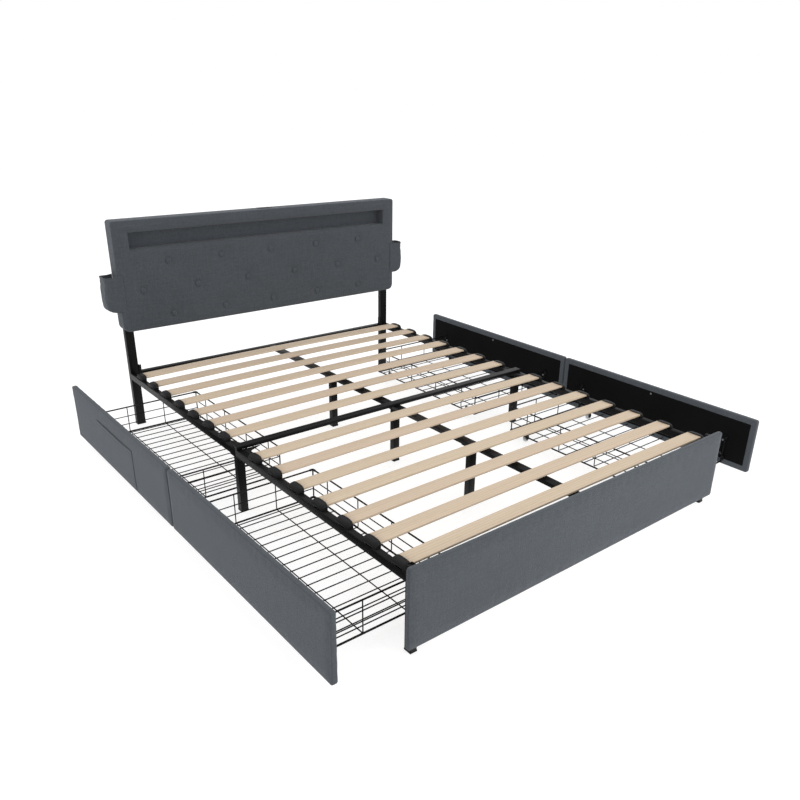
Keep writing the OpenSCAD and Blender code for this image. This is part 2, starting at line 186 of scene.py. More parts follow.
def add_wire(build, path, r, sides=8):
    """A round wire along a path, with domed ends."""
    path = np.asarray(path, float)
    head = (path[0] - path[1]) / np.linalg.norm(path[0] - path[1])
    tail = (path[-1] - path[-2]) / np.linalg.norm(path[-1] - path[-2])
    path = np.concatenate([[path[0] + head * r * 0.5], path, [path[-1] + tail * r * 0.5]])
    rows = len(path)
    radii = np.full(rows, r)
    radii[[0, -1]] = r * 0.5
    a, b = ring_frames(path)
    turn = np.linspace(0, 2 * math.pi, sides, endpoint=False)
    ring = np.cos(turn)[None, :, None] * a[:, None, :] + np.sin(turn)[None, :, None] * b[:, None, :]
    first = build.count
    build.grid(path[:, None, :] + ring * radii[:, None, None], rows, sides, close=True)
    build.cap(first, sides, flip=True)
    build.cap(first + (rows - 1) * sides, sides)


def bend(corners, r, steps=4):
    """A path through corners, each inner one rounded to radius r."""
    corners = [np.asarray(c, float) for c in corners]
    out = [corners[0]]
    for before, c, after in zip(corners, corners[1:], corners[2:]):
        a, b = before - c, after - c
        reach = min(r, 0.45 * np.linalg.norm(a), 0.45 * np.linalg.norm(b))
        p = c + a / np.linalg.norm(a) * reach
        q = c + b / np.linalg.norm(b) * reach
        for k in range(steps + 1):
            t = k / steps
            out.append((1 - t) ** 2 * p + 2 * t * (1 - t) * c + t**2 * q)
    return np.array([*out, corners[-1]])


def rounded_outline(w, h, r, steps=4):
    """Points round a rectangle with round corners, centred on the origin."""
    points = []
    for sx, sy, start in ((1, 1, 0), (-1, 1, 90), (-1, -1, 180), (1, -1, 270)):
        for k in range(steps + 1):
            a = math.radians(start + 90 * k / steps)
            points.append((sx * (w / 2 - r) + r * math.cos(a), sy * (h / 2 - r) + r * math.sin(a)))
    return np.array(points)


def bar(build, lo, hi, axis, r, chamfer=0.0006):
    """A square bar with round corners along one axis, its ends chamfered."""
    lo = np.asarray(lo, float)
    hi = np.asarray(hi, float)
    across = [i for i in range(3) if i != axis]
    size = hi - lo
    middle = (lo + hi) / 2
    rings = []
    for inset, at in (
        (chamfer, lo[axis]), (0, lo[axis] + chamfer), (0, hi[axis] - chamfer), (chamfer, hi[axis]),
    ):
        w, h = (size[i] - 2 * inset for i in across)
        outline = rounded_outline(w, h, max(r - inset, 0.0004))
        points = np.full((len(outline), 3), at)
        points[:, across] = middle[across] + outline
        rings.append(points)
    n = len(rings[0])
    flip = axis != 1
    first = build.count
    build.grid(np.concatenate(rings), len(rings), n, close=True, flip=flip)
    build.cap(first, n, flip)
    build.cap(first + (len(rings) - 1) * n, n, not flip)


def turned(build, profile, centre, axis, sides=32):
    """A shape turned about an axis through centre, from (distance along, radius) pairs."""
    u, v = {0: (1, 2), 1: (2, 0), 2: (0, 1)}[axis]
    a = np.linspace(0, 2 * math.pi, sides, endpoint=False)
    rows = []
    for along, radius in profile:
        ring = np.zeros((sides, 3))
        ring[:, axis] = centre[axis] + along
        ring[:, u] = centre[u] + radius * np.cos(a)
        ring[:, v] = centre[v] + radius * np.sin(a)
        rows.append(ring)
    first = build.count
    build.grid(np.concatenate(rows), len(rows), sides, close=True, flip=True)
    build.cap(first, sides)
    build.cap(first + (len(rows) - 1) * sides, sides, flip=True)


def puff(piece, pinned, pressure, frames, cap, slack):
    """Cloth simulation under pressure. The result is applied, and no point moves more than cap."""
    group = piece.vertex_groups.new(name="pinned")
    group.add([int(i) for i in pinned], 1.0, "REPLACE")
    modifier = piece.modifiers.new("cloth", "CLOTH")
    cloth = modifier.settings
    cloth.quality = 4
    cloth.mass = 0.4
    cloth.tension_stiffness = 15.0
    cloth.compression_stiffness = 15.0
    cloth.shear_stiffness = 5.0
    cloth.bending_stiffness = 0.4
    cloth.use_pressure = True
    cloth.uniform_pressure_force = pressure
    cloth.vertex_group_mass = "pinned"
    cloth.shrink_min = -slack
    cloth.effector_weights.gravity = 0
    modifier.collision_settings.use_collision = False
    scene = bpy.context.scene
    modifier.point_cache.frame_start = 1
    modifier.point_cache.frame_end = frames
    for step in range(1, frames + 1):
        scene.frame_set(step)
    posed = piece.evaluated_get(bpy.context.evaluated_depsgraph_get())
    after = np.empty(len(posed.data.vertices) * 3)
    posed.data.vertices.foreach_get("co", after)
    before = np.empty_like(after)
    piece.data.vertices.foreach_get("co", before)
    piece.modifiers.remove(modifier)
    piece.vertex_groups.remove(group)
    scene.frame_set(1)
    before = before.reshape(-1, 3)
    move = after.reshape(-1, 3) - before
    length = np.linalg.norm(move, axis=1)[:, None]
    move *= np.minimum(1.0, cap / np.maximum(length, 1e-9))
    piece.data.vertices.foreach_set("co", (before + move).ravel())
    piece.data.update()


def refine(piece):
    """Subdivides a piece once, with the result applied."""
    modifier = piece.modifiers.new("refine", "SUBSURF")
    modifier.levels = 1
    modifier.render_levels = 1
    posed = piece.evaluated_get(bpy.context.evaluated_depsgraph_get())
    mesh = bpy.data.meshes.new_from_object(posed)
    old = piece.data
    piece.modifiers.clear()
    piece.data = mesh
    bpy.data.meshes.remove(old)


def softly(points, scale, amount, seed):
    """Smooth unevenness along any direction: a sum of slow waves, at most amount high."""
    waves = np.random.default_rng(seed)
    total = np.zeros(len(points))
    for _ in range(6):
        k = waves.normal(size=3)
        k *= 2 * math.pi / scale / np.linalg.norm(k) * waves.uniform(0.6, 1.5)
        total += np.sin(points @ k + waves.uniform(0, 2 * math.pi))
    return amount * total / 6


# ---------------------------------------------------------------- materials


def principled(name):
    material = bpy.data.materials.new(name)
    material.use_nodes = True
    tree = material.node_tree
    return material, tree, tree.nodes["Principled BSDF"]


def textured(name):
    """A new material, with the object's own coordinates to paint it by."""
    material, tree, shader = principled(name)
    return material, tree, shader, node(tree, "ShaderNodeTexCoord").outputs["Object"]


def toned(colour, k):
    return tuple(k * c for c in colour)


def node(tree, kind, inputs=None, **settings):
    """A new shader node, with its settings, and inputs given as values or as sockets to link."""
    made = tree.nodes.new(kind)
    for key, value in settings.items():
        setattr(made, key, value)
    for key, value in (inputs or {}).items():
        if isinstance(value, bpy.types.NodeSocket):
            tree.links.new(value, made.inputs[key])
        else:
            made.inputs[key].default_value = value
    return made


def ramp(tree, fac, stops):
    """A colour ramp of (position, colour) stops."""
    made = tree.nodes.new("ShaderNodeValToRGB")
    elements = made.color_ramp.elements
    while len(elements) < len(stops):
        elements.new(0.5)
    for element, (position, colour) in zip(elements, stops):
        element.position = position
        element.color = (*colour, 1.0)
    tree.links.new(fac, made.inputs["Fac"])
    return made.outputs["Color"]


def maths(tree, operation, *values):
    made = tree.nodes.new("ShaderNodeMath")
    made.operation = operation
    for socket, value in zip(made.inputs, values):
        if isinstance(value, bpy.types.NodeSocket):
            tree.links.new(value, socket)
        else:
            socket.default_value = value
    return made.outputs[0]


def noise(tree, vector, scale, detail=4.0, roughness=0.5, distortion=0.0):
    made = node(
        tree,
        "ShaderNodeTexNoise",
        {
            "Vector": vector,
            "Scale": scale,
            "Detail": detail,
            "Roughness": roughness,
            "Distortion": distortion,
        },
    )
    return made.outputs["Fac"]


def stretched(tree, vector, scale):
    made = node(tree, "ShaderNodeMapping", {"Vector": vector, "Scale": scale})
    return made.outputs["Vector"]


def mixed(tree, fac, a, b, blend="MIX"):
    made = tree.nodes.new("ShaderNodeMix")
    made.data_type = "RGBA"
    made.blend_type = blend
    for socket, value in ((made.inputs[0], fac), (made.inputs[6], a), (made.inputs[7], b)):
        if isinstance(value, bpy.types.NodeSocket):
            tree.links.new(value, socket)
        else:
            socket.default_value = value if isinstance(value, float) else (*value, 1.0)
    return made.outputs[2]


def bumped(tree, shader, height, distance, strength=1.0, below=None):
    made = node(tree, "ShaderNodeBump", {"Height": height, "Distance": distance, "Strength": strength})
    if below is not None:
        tree.links.new(below, made.inputs["Normal"])
    tree.links.new(made.outputs["Normal"], shader.inputs["Normal"])
    return made.outputs["Normal"]


def weave_height(tree, coords):
    """Threads over and under each other along the two directions that lie in the surface."""
    spot = node(tree, "ShaderNodeSeparateXYZ", {"Vector": coords})
    normal = node(tree, "ShaderNodeTexCoord").outputs["Normal"]
    facing = node(tree, "ShaderNodeSeparateXYZ", {"Vector": normal})
    waves = []
    for i in range(3):
        phase = maths(tree, "MULTIPLY", spot.outputs[i], math.pi / THREAD_PITCH)
        waves.append(maths(tree, "SINE", phase))
    total = None
    for i, (a, b) in enumerate(((1, 2), (0, 2), (0, 1))):
        share = maths(tree, "POWER", maths(tree, "ABSOLUTE", facing.outputs[i]), 2.0)
        term = maths(tree, "MULTIPLY", maths(tree, "MULTIPLY", waves[a], waves[b]), share)
        total = term if total is None else maths(tree, "ADD", total, term)
    return total


def fabric(name, light, dark):
    """Slate upholstery cloth: a plain weave of mixed grey yarns with slubs and slight pilling."""
    material, tree, shader, coords = textured(name)
    weave = weave_height(tree, coords)
    across = noise(tree, stretched(tree, coords, (60.0, 900.0, 900.0)), 1.0, 3.0, 0.6)
    along = noise(tree, stretched(tree, coords, (900.0, 900.0, 60.0)), 1.0, 3.0, 0.6)
    slubs = maths(tree, "MULTIPLY", maths(tree, "ADD", across, along), 0.5)
    wide_across = noise(tree, stretched(tree, coords, (14.0, 210.0, 210.0)), 1.0, 3.0, 0.55)
    wide_along = noise(tree, stretched(tree, coords, (210.0, 210.0, 14.0)), 1.0, 3.0, 0.55)
    streaks = maths(tree, "ADD", wide_across, wide_along)
    melange = noise(tree, coords, 420.0, 2.0, 0.6)
    cloud = noise(tree, coords, 3.5, 3.0, 0.5)
    yarn = maths(tree, "ADD", maths(tree, "MULTIPLY", slubs, 0.55), maths(tree, "MULTIPLY", melange, 0.45))
    colour = ramp(tree, yarn, ((0.36, dark), (0.64, light)))
    crossing = maths(tree, "MULTIPLY_ADD", weave, 0.10, 0.94)
    patch = maths(tree, "ADD", maths(tree, "MULTIPLY", cloud, 0.16), maths(tree, "MULTIPLY", streaks, 0.30))
    shade = maths(tree, "MULTIPLY", crossing, maths(tree, "ADD", patch, 0.62))
    grey = node(tree, "ShaderNodeCombineColor", {"Red": shade, "Green": shade, "Blue": shade})
    tree.links.new(mixed(tree, 1.0, colour, grey.outputs["Color"], "MULTIPLY"), shader.inputs["Base Color"])
    rough = maths(tree, "MULTIPLY_ADD", melange, 0.14, 0.82)
    tree.links.new(rough, shader.inputs["Roughness"])
    shader.inputs["Specular IOR Level"].default_value = 0.25
    shader.inputs["Sheen Weight"].default_value = 0.22
    shader.inputs["Sheen Roughness"].default_value = 0.45
    shader.inputs["Sheen Tint"].default_value = (0.66, 0.69, 0.74, 1.0)
    fuzz = noise(tree, coords, 1500.0, 2.0, 0.7)
    thread = maths(tree, "ADD", weave, maths(tree, "MULTIPLY", fuzz, 0.8))
    soft = bumped(tree, shader, slubs, 0.0009, 0.5)
    bumped(tree, shader, thread, 0.0005, 0.6, below=soft)
    return material


def coated_steel(name, base, roughness):
    """Black powder coat: fine orange-peel, dull patches and rubbed edges."""
    material, tree, shader, coords = textured(name)
    peel = noise(tree, coords, 1100.0, 2.0, 0.5)
    dust = noise(tree, coords, 14.0, 5.0, 0.65)
    scuff = noise(tree, stretched(tree, coords, (9.0, 9.0, 60.0)), 4.0, 6.0, 0.7, 0.4)
    edge = node(tree, "ShaderNodeNewGeometry").outputs["Pointiness"]
    raised = maths(tree, "SMOOTH_MAX", maths(tree, "SUBTRACT", edge, 0.53), 0.0, 0.02)
    rubbed = maths(tree, "MULTIPLY", raised, 3.0)
    wear = maths(tree, "MINIMUM", maths(tree, "MULTIPLY", rubbed, scuff), 0.6)
    tinted = ramp(tree, dust, ((0.35, base), (0.75, toned(base, 1.5))))
    tree.links.new(mixed(tree, wear, tinted, (0.016, 0.016, 0.017)), shader.inputs["Base Color"])
    rough = maths(tree, "ADD", roughness - 0.06, maths(tree, "MULTIPLY", dust, 0.14))
    tree.links.new(rough, shader.inputs["Roughness"])
    shader.inputs["Specular IOR Level"].default_value = 0.11
    bumped(tree, shader, peel, 0.0002, 0.45)
    return material


def moulded_plastic(name, base, roughness=0.5, specular=0.4, see_through=0.0):
    """Moulded plastic: fine spark-eroded grain and faint flow marks."""
    material, tree, shader, coords = textured(name)
    cells = noise(tree, coords, 1600.0, 2.0, 0.6)
    flow = noise(tree, stretched(tree, coords, (30.0, 12.0, 30.0)), 2.0, 4.0, 0.6, 1.2)
    colour = ramp(tree, flow, ((0.3, toned(base, 0.8)), (0.72, toned(base, 1.25))))
    tree.links.new(colour, shader.inputs["Base Color"])
    rough = maths(tree, "ADD", roughness - 0.05, maths(tree, "MULTIPLY", flow, 0.12))
    tree.links.new(rough, shader.inputs["Roughness"])
    shader.inputs["Specular IOR Level"].default_value = specular
    shader.inputs["Transmission Weight"].default_value = see_through
    bumped(tree, shader, cells, 0.00015, 0.4)
    return material


def slat_wood(name):
    """Planed poplar: long straight grain, pores, cathedral figure, and a tone of its own per slat."""
    material, tree, shader, coords = textured(name)
    place = node(tree, "ShaderNodeSeparateXYZ", {"Vector": coords}).outputs
    each = node(tree, "ShaderNodeAttribute", attribute_name="board").outputs["Fac"]
    shifts = zip("XYZ", place, (17.0, 3.1, 5.7))
    moved = {axis: maths(tree, "ADD", at, maths(tree, "MULTIPLY", each, far)) for axis, at, far in shifts}
    shifted = node(tree, "ShaderNodeCombineXYZ", moved).outputs["Vector"]
    grain = noise(tree, stretched(tree, shifted, (1.6, 150.0, 150.0)), 1.0, 5.0, 0.62, 0.25)
    figure = node(
        tree,
        "ShaderNodeTexWave",
        {
            "Vector": stretched(tree, shifted, (0.55, 13.0, 13.0)),
            "Scale": 2.2,
            "Distortion": 5.0,
            "Detail": 3.0,
            "Detail Scale": 0.8,
        },
        bands_direction="Y",
    ).outputs["Fac"]
    pores = noise(tree, stretched(tree, shifted, (22.0, 1500.0, 1500.0)), 1.0, 2.0, 0.5)
    pale = mixed(tree, each, (0.545, 0.442, 0.328), (0.532, 0.420, 0.316))
    dark = mixed(tree, each, (0.420, 0.328, 0.225), (0.405, 0.306, 0.215))
    streak = maths(tree, "ADD", maths(tree, "MULTIPLY", grain, 0.7), maths(tree, "MULTIPLY", figure, 0.3))
    band = node(tree, "ShaderNodeMapRange", {"Value": streak, "From Min": 0.38, "From Max": 0.78}).outputs[0]
    body = mixed(tree, maths(tree, "MULTIPLY", band, 0.62), pale, dark)
    pore = maths(tree, "MULTIPLY", maths(tree, "GREATER_THAN", pores, 0.62), 0.22)
    tree.links.new(mixed(tree, pore, body, (0.30, 0.20, 0.12)), shader.inputs["Base Color"])
    rough = maths(tree, "ADD", 0.52, maths(tree, "MULTIPLY", grain, 0.18))
    tree.links.new(rough, shader.inputs["Roughness"])
    shader.inputs["Specular IOR Level"].default_value = 0.35
    height = maths(tree, "SUBTRACT", grain, maths(tree, "MULTIPLY", pore, 1.5))
    bumped(tree, shader, height, 0.0003, 0.45)
    return material


def ply(name, pale, dark):
    """Plywood: peeled veneer figure on the faces and thin plies on the edges."""
    material, tree, shader, coords = textured(name)
    veneer = noise(tree, stretched(tree, coords, (3.0, 3.0, 28.0)), 1.0, 6.0, 0.6, 1.5)
    plies = node(
        tree, "ShaderNodeTexWave", {"Vector": coords, "Scale": 90.0, "Distortion": 0.6}, bands_direction="Y"
    ).outputs["Fac"]
    tone = maths(tree, "ADD", maths(tree, "MULTIPLY", veneer, 0.85), maths(tree, "MULTIPLY", plies, 0.15))
    tree.links.new(ramp(tree, tone, ((0.35, dark), (0.68, pale))), shader.inputs["Base Color"])
    shader.inputs["Roughness"].default_value = 0.68
    bumped(tree, shader, veneer, 0.0004, 0.5)
    return material


def lining(name, base=(0.0033, 0.0033, 0.0035)):
    """Black non-woven lining: matted fibres with a point-bonded pattern."""
    material, tree, shader, coords = textured(name)
    fibres = noise(tree, stretched(tree, coords, (260.0, 700.0, 420.0)), 1.0, 4.0, 0.75, 1.8)
    bonds = node(tree, "ShaderNodeTexVoronoi", {"Vector": coords, "Scale": 420.0}).outputs["Distance"]
    cloud = noise(tree, coords, 7.0, 3.0, 0.5)
    tone = maths(tree, "ADD", maths(tree, "MULTIPLY", fibres, 0.6), maths(tree, "MULTIPLY", cloud, 0.4))
    stops = ((0.3, toned(base, 0.7)), (0.75, toned(base, 1.9)))
    tree.links.new(ramp(tree, tone, stops), shader.inputs["Base Color"])
    shader.inputs["Roughness"].default_value = 0.80
    shader.inputs["Specular IOR Level"].default_value = 0.05
    bumped(tree, shader, maths(tree, "ADD", fibres, bonds), 0.0004, 0.5)
    return material


def zinc(name):
    """Dark zinc plate: a satin metal with crystalline mottling."""
    material, tree, shader, coords = textured(name)
    mottle = noise(tree, coords, 380.0, 4.0, 0.6)
    stops = ((0.3, (0.10, 0.10, 0.105)), (0.7, (0.24, 0.24, 0.25)))
    tree.links.new(ramp(tree, mottle, stops), shader.inputs["Base Color"])
    shader.inputs["Metallic"].default_value = 1.0
    tree.links.new(maths(tree, "MULTIPLY_ADD", mottle, 0.25, 0.25), shader.inputs["Roughness"])
    bumped(tree, shader, mottle, 0.0001, 0.4)
    return material


SLATE = fabric("slate_fabric", (0.083, 0.093, 0.105), (0.041, 0.047, 0.054))
# A lighter copy of the slate cloth for the niche lining: painted light, brightening the shade inside the
# recess
SLATE_PAINTED_LIGHTER = fabric("slate_fabric_painted_lighter", (0.098, 0.109, 0.122), (0.052, 0.058, 0.066))
THREAD = moulded_plastic("sewing_thread", (0.060, 0.070, 0.084), roughness=0.6)
STEEL = coated_steel("frame_steel", (0.0042, 0.0042, 0.0045), 0.42)
WIRE = coated_steel("wire_steel", (0.0036, 0.0036, 0.0038), 0.38)
PLASTIC = moulded_plastic("black_plastic", (0.0056, 0.0056, 0.0062), specular=0.17)
CASTER = moulded_plastic("caster_plastic", (0.36, 0.37, 0.38), roughness=0.3, see_through=0.25)
WOOD = slat_wood("slat_wood")
PLYWOOD = ply("plywood", (0.60, 0.44, 0.28), (0.40, 0.26, 0.14))
BOARD = lining("black_board")
DUST = lining("dust_cloth", (0.010, 0.010, 0.011))
ZINC = zinc("zinc_steel")

SLOT_MATERIALS = {
    "slate_fabric": SLATE,
    "frame_steel": STEEL,
    "wire_steel": WIRE,
    "black_plastic": PLASTIC,
    "caster_plastic": CASTER,
    "slat_wood": WOOD,
    "plywood": PLYWOOD,
    "black_board": BOARD,
    "dust_cloth": DUST,
    "zinc_steel": ZINC,
}


def dress_cad_nodes():
    for part in frame["record"]["subparts"]:
        mesh = nodes[part["node"]].data
        mesh.materials.clear()
        mesh.materials.append(SLOT_MATERIALS[part["material_slot"]])


def settle(piece, body, slot, *replaced):
    """Puts a finished piece on its body and hides the CAD nodes that it stands for. The slot argument is not
    used.
    """
    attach(piece, body)
    if replaced:
        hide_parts(*replaced)
    return piece


# ---------------------------------------------------------------- fabric panels


def panel_lines(half, corners, pitch, extra=()):
    """Grid lines from -half to half: at each extra place, and close together at the corners."""
    inner = half - max(corners)
    places = sorted({-inner, inner, *[e for e in extra if -inner < e < inner]})
    lines = {inner}
    for a, b in zip(places, places[1:]):
        count = max(1, round((b - a) / pitch))
        lines |= {a + (b - a) * k / count for k in range(count)}
    for corner in corners:
        for share in (0, 0.34, 0.68, 1):
            lines |= {half - corner * share, corner * share - half}
    ordered = sorted(lines)
    return np.array([x for x, after in zip(ordered, [*ordered[1:], math.inf]) if after - x > 1e-7])


def round_corners(a, b, half_a, half_b, corners):
    """Moves grid points so that the grid's four corners are round, two with each radius."""
    low, high = corners
    corner = np.where(b < 0, low, high)
    over_a = np.abs(a) - (half_a - corner)
    over_b = np.abs(b) - (half_b - corner)
    both = (over_a > 0) & (over_b > 0)
    s = np.clip(over_a / corner, 0, 1)
    t = np.clip(over_b / corner, 0, 1)
    new_a = np.sign(a) * (half_a - corner + corner * s * np.sqrt(1 - t * t / 2))
    new_b = np.sign(b) * (half_b - corner + corner * t * np.sqrt(1 - s * s / 2))
    return np.where(both, new_a, a), np.where(both, new_b, b)


class Panel:
    """A panel wrapped in fabric. Its plane is (a, b), and c is the depth behind its face."""

    def __init__(self, width, height, corners, edge, pitch, extra_a=(), extra_b=()):
        self.half_a = width / 2 - edge
        self.half_b = height / 2 - edge
        self.corners = [max(corner - edge, 0.004) for corner in corners]
        self.edge = edge
        self.lines_a = panel_lines(self.half_a, self.corners, pitch, extra_a)
        self.lines_b = panel_lines(self.half_b, self.corners, pitch, extra_b)
        self.na = len(self.lines_a)
        self.nb = len(self.lines_b)
        a, b = np.meshgrid(self.lines_a, self.lines_b, indexing="ij")
        a, b = round_corners(a, b, self.half_a, self.half_b, self.corners)
        self.face = np.stack([a.ravel(), b.ravel(), np.zeros(a.size)], 1)

    def index(self, i, j):
        return i * self.nb + j

    def rim(self):
        """Indices round the face's edge, and each one's outward direction."""
        loop = [(i, 0) for i in range(self.na)]
        loop += [(self.na - 1, j) for j in range(1, self.nb)]
        loop += [(i, self.nb - 1) for i in range(self.na - 2, -1, -1)]
        loop += [(0, j) for j in range(self.nb - 2, 0, -1)]
        out = []
        for i, j in loop:
            a, b = self.face[self.index(i, j), :2]
            corner = self.corners[0] if b < 0 else self.corners[1]
            over_a = max(abs(a) - (self.half_a - corner), 0.0)
            over_b = max(abs(b) - (self.half_b - corner), 0.0)
            if over_a > 0 and over_b > 0:
                d = np.array([math.copysign(over_a, a), math.copysign(over_b, b)])
            elif i in (0, self.na - 1):
                d = np.array([math.copysign(1.0, a), 0.0])
            else:
                d = np.array([0.0, math.copysign(1.0, b)])
            out.append(d / np.linalg.norm(d))
        return [self.index(i, j) for i, j in loop], np.array(out)

    def mesh(self, depth, turn, back_edge=0.004, hole=None):
        """Points and faces: the face, its round edges, the sides and the cloth turned over the back."""
        build = Build()
        faces = []
        inside = np.zeros((self.na, self.nb), bool)
        if hole:
            (a0, a1), (b0, b1) = hole
            for i in range(self.na - 1):
                for j in range(self.nb - 1):
                    middle_a = (self.lines_a[i] + self.lines_a[i + 1]) / 2
                    middle_b = (self.lines_b[j] + self.lines_b[j + 1]) / 2
                    inside[i, j] = a0 < middle_a < a1 and b0 < middle_b < b1
        for i in range(self.na - 1):
            for j in range(self.nb - 1):
                if not inside[i, j]:
                    corners = ((i, j), (i + 1, j), (i + 1, j + 1), (i, j + 1))
                    faces.append(tuple(self.index(*at) for at in corners))
        build.add(self.face, faces)
        loop, out = self.rim()
        base = self.face[loop]
        rows = [base]

        def ring(offset, c):
            points = base.copy()
            points[:, :2] += out * offset
            points[:, 2] = c
            return points

        for k in range(1, 5):
            t = math.radians(90 * k / 4)
            c = self.edge * (1 - math.cos(t)) + base[:, 2] * (1 - k / 4)
            rows.append(ring(self.edge * math.sin(t), c))
        straight = max(1, round((depth - self.edge - back_edge) / 0.010))
        for k in range(1, straight + 1):
            rows.append(ring(self.edge, self.edge + (depth - self.edge - back_edge) * k / straight))
        for k in range(1, 4):
            t = math.radians(90 * k / 3)
            offset = self.edge - back_edge * (1 - math.cos(t))
            rows.append(ring(offset, depth - back_edge * (1 - math.sin(t))))
        for k in range(1, 4):
            rows.append(ring(self.edge - back_edge - (turn - back_edge) * k / 3, depth))
        rows.append(ring(self.edge - turn, depth - 0.003))
        n = len(loop)
        first = build.count
        build.add(np.concatenate(rows[1:]), [])
        for i in range(len(rows) - 1):
            for j in range(n):
                k = (j + 1) % n
                if i == 0:
                    a0, a1 = loop[j], loop[k]
                else:
                    a0, a1 = first + (i - 1) * n + j, first + (i - 1) * n + k
                b0, b1 = first + i * n + j, first + i * n + k
                build.faces.append((a0, b0, b1, a1))
        return build


def fabric_panel(name, size, body, replaced, to_world, seed, crown=0.0015):
    """A board padded and wrapped in cloth, with the cloth turned over its back."""
    width, height, depth = size
    panel = Panel(width, height, (PANEL_CORNER_R, PANEL_CORNER_R), EDGE_R, GRID)
    build = panel.mesh(depth, TURN_W)
    points = np.concatenate(build.points)
    a, b, c = points.T
    shape = (1 - (a / (width / 2)) ** 4) * (1 - (b / (height / 2)) ** 4)
    face = np.clip(1 - c / 0.003, 0, 1)
    points[:, 2] -= face * (crown * np.clip(shape, 0, 1) + softly(points, 0.16, 0.0006, seed))
    # The turned-over border lies unevenly, and pulls in where staples hold it
    border = (c > depth - 0.0015) & (c <= depth + 1e-6)
    along = a + b
    points[:, 2] += np.where(border, 0.0007 + 0.0005 * np.sin(along * 2 * math.pi / 0.055 + seed), 0.0)
    tip = (c > depth - 0.0031) & (c < depth - 0.0029)
    points[:, :2] *= np.where(tip, 1 + 0.0012 * np.sin(along * 2 * math.pi / 0.04 + 2 * seed), 1.0)[:, None]
    build.points = [points]
    piece = build.make(name, SLATE, place=to_world)
    pinned = np.where(c > 0.0012)[0]
    puff(piece, pinned, 1.2, 10, 0.0025, slack=0.002)
    refine(piece)
    settle(piece, body, "slate_fabric", replaced)


# ---------------------------------------------------------------- headboard


def button_places():
    return [
        ((i - (count - 1) / 2) * BUTTON_PITCH, z) for z, count in BUTTON_ROWS for i in range(count)
    ]


def tuft_depth(x, z):
    """How far the face is drawn in at each point: dimples at the buttons and soft folds between them."""
    dimple = np.zeros(len(x))
    for bx, bz in button_places():
        d = np.hypot(x - bx, z - bz)
        hollow = 0.0075 * np.exp(-((d / 0.021) ** 1.5)) + 0.0022 * np.exp(-((d / 0.055) ** 2))
        dimple = np.maximum(dimple, hollow)
    fold = np.zeros(len(x))
    spots = button_places()
    for i, (ax, az) in enumerate(spots):
        for bx, bz in spots[i + 1 :]:
            if abs(abs(ax - bx) - BUTTON_PITCH / 2) > 0.01 or abs(az - bz) > 0.14 or az == bz:
                continue
            length = math.hypot(bx - ax, bz - az)
            ux, uz = (bx - ax) / length, (bz - az) / length
            t = (x - ax) * ux + (z - az) * uz
            d = np.abs((x - ax) * uz - (z - az) * ux)
            near = np.minimum(t, length - t)
            strength = np.exp(-((np.maximum(near, 0) / 0.045) ** 1.2)) * 0.85 + 0.15
            along = (t > 0) & (t < length)
            crease = strength * 0.0019 * np.exp(-((d / 0.0055) ** 1.6))
            fold = np.maximum(fold, np.where(along, crease, 0))
    return dimple + fold


def make_headboard():
    lo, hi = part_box("headboard_cover")
    niche_lo, niche_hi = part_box("headboard_niche")
    lip = NICHE_WALL - NICHE_ROLL
    width, height, depth = hi.x - lo.x, hi.z - lo.z, hi.y - lo.y
    middle_z = (lo.z + hi.z) / 2
    hole_a = (niche_lo.x + lip, niche_hi.x - lip)
    hole_b = (niche_lo.z + lip - middle_z, niche_hi.z - lip - middle_z)
    corners = (HEADBOARD_LOW_CORNER_R, HEADBOARD_CORNER_R)
    panel = Panel(width, height, corners, HEADBOARD_EDGE_R, HEADBOARD_GRID, hole_a, hole_b)
    x = panel.face[:, 0]
    z = panel.face[:, 1] + middle_z
    edge_gap = np.minimum(panel.half_a - np.abs(x), panel.half_b - np.abs(panel.face[:, 1]))
    hole_gap = np.maximum(
        np.maximum(hole_a[0] - x, x - hole_a[1]),
        np.maximum(hole_b[0] - panel.face[:, 1], panel.face[:, 1] - hole_b[1]),
    )
    calm = np.clip(np.minimum(edge_gap, hole_gap) / 0.03, 0, 1)
    panel.face[:, 2] = tuft_depth(x, z) * calm
    panel.face[:, 2] += 0.0030 * np.clip(1 - edge_gap / 0.028, 0, 1) ** 2
    panel.face[:, 2] += 0.0034 * np.clip(1 - hole_gap / 0.020, 0, 1) ** 2
    panel.face[:, 2] += softly(panel.face, 0.22, 0.0007, 5) * calm
    build = panel.mesh(depth, HEADBOARD_TURN_W, back_edge=0.006, hole=(hole_a, hole_b))
    add_hole_edge(build, panel, hole_a, hole_b)

    def to_world(points):
        a, b, c = points.T
        return np.stack([a, lo.y + c, middle_z + b], 1), False

    piece = build.make("headboard_upholstery", SLATE, place=to_world)
    spots = np.array(button_places())
    near = np.min(np.hypot(x[:, None] - spots[:, 0], z[:, None] - spots[:, 1]), axis=1)
    free = np.where((near > BUTTON_R) & (calm > 0.25))[0]
    everything = np.arange(len(piece.data.vertices))
    pinned = np.setdiff1d(everything, free)
    puff(piece, pinned, 1.6, 16, 0.006, slack=0.006)
    refine(piece)
    settle(piece, "frame", "slate_fabric", "headboard_cover")


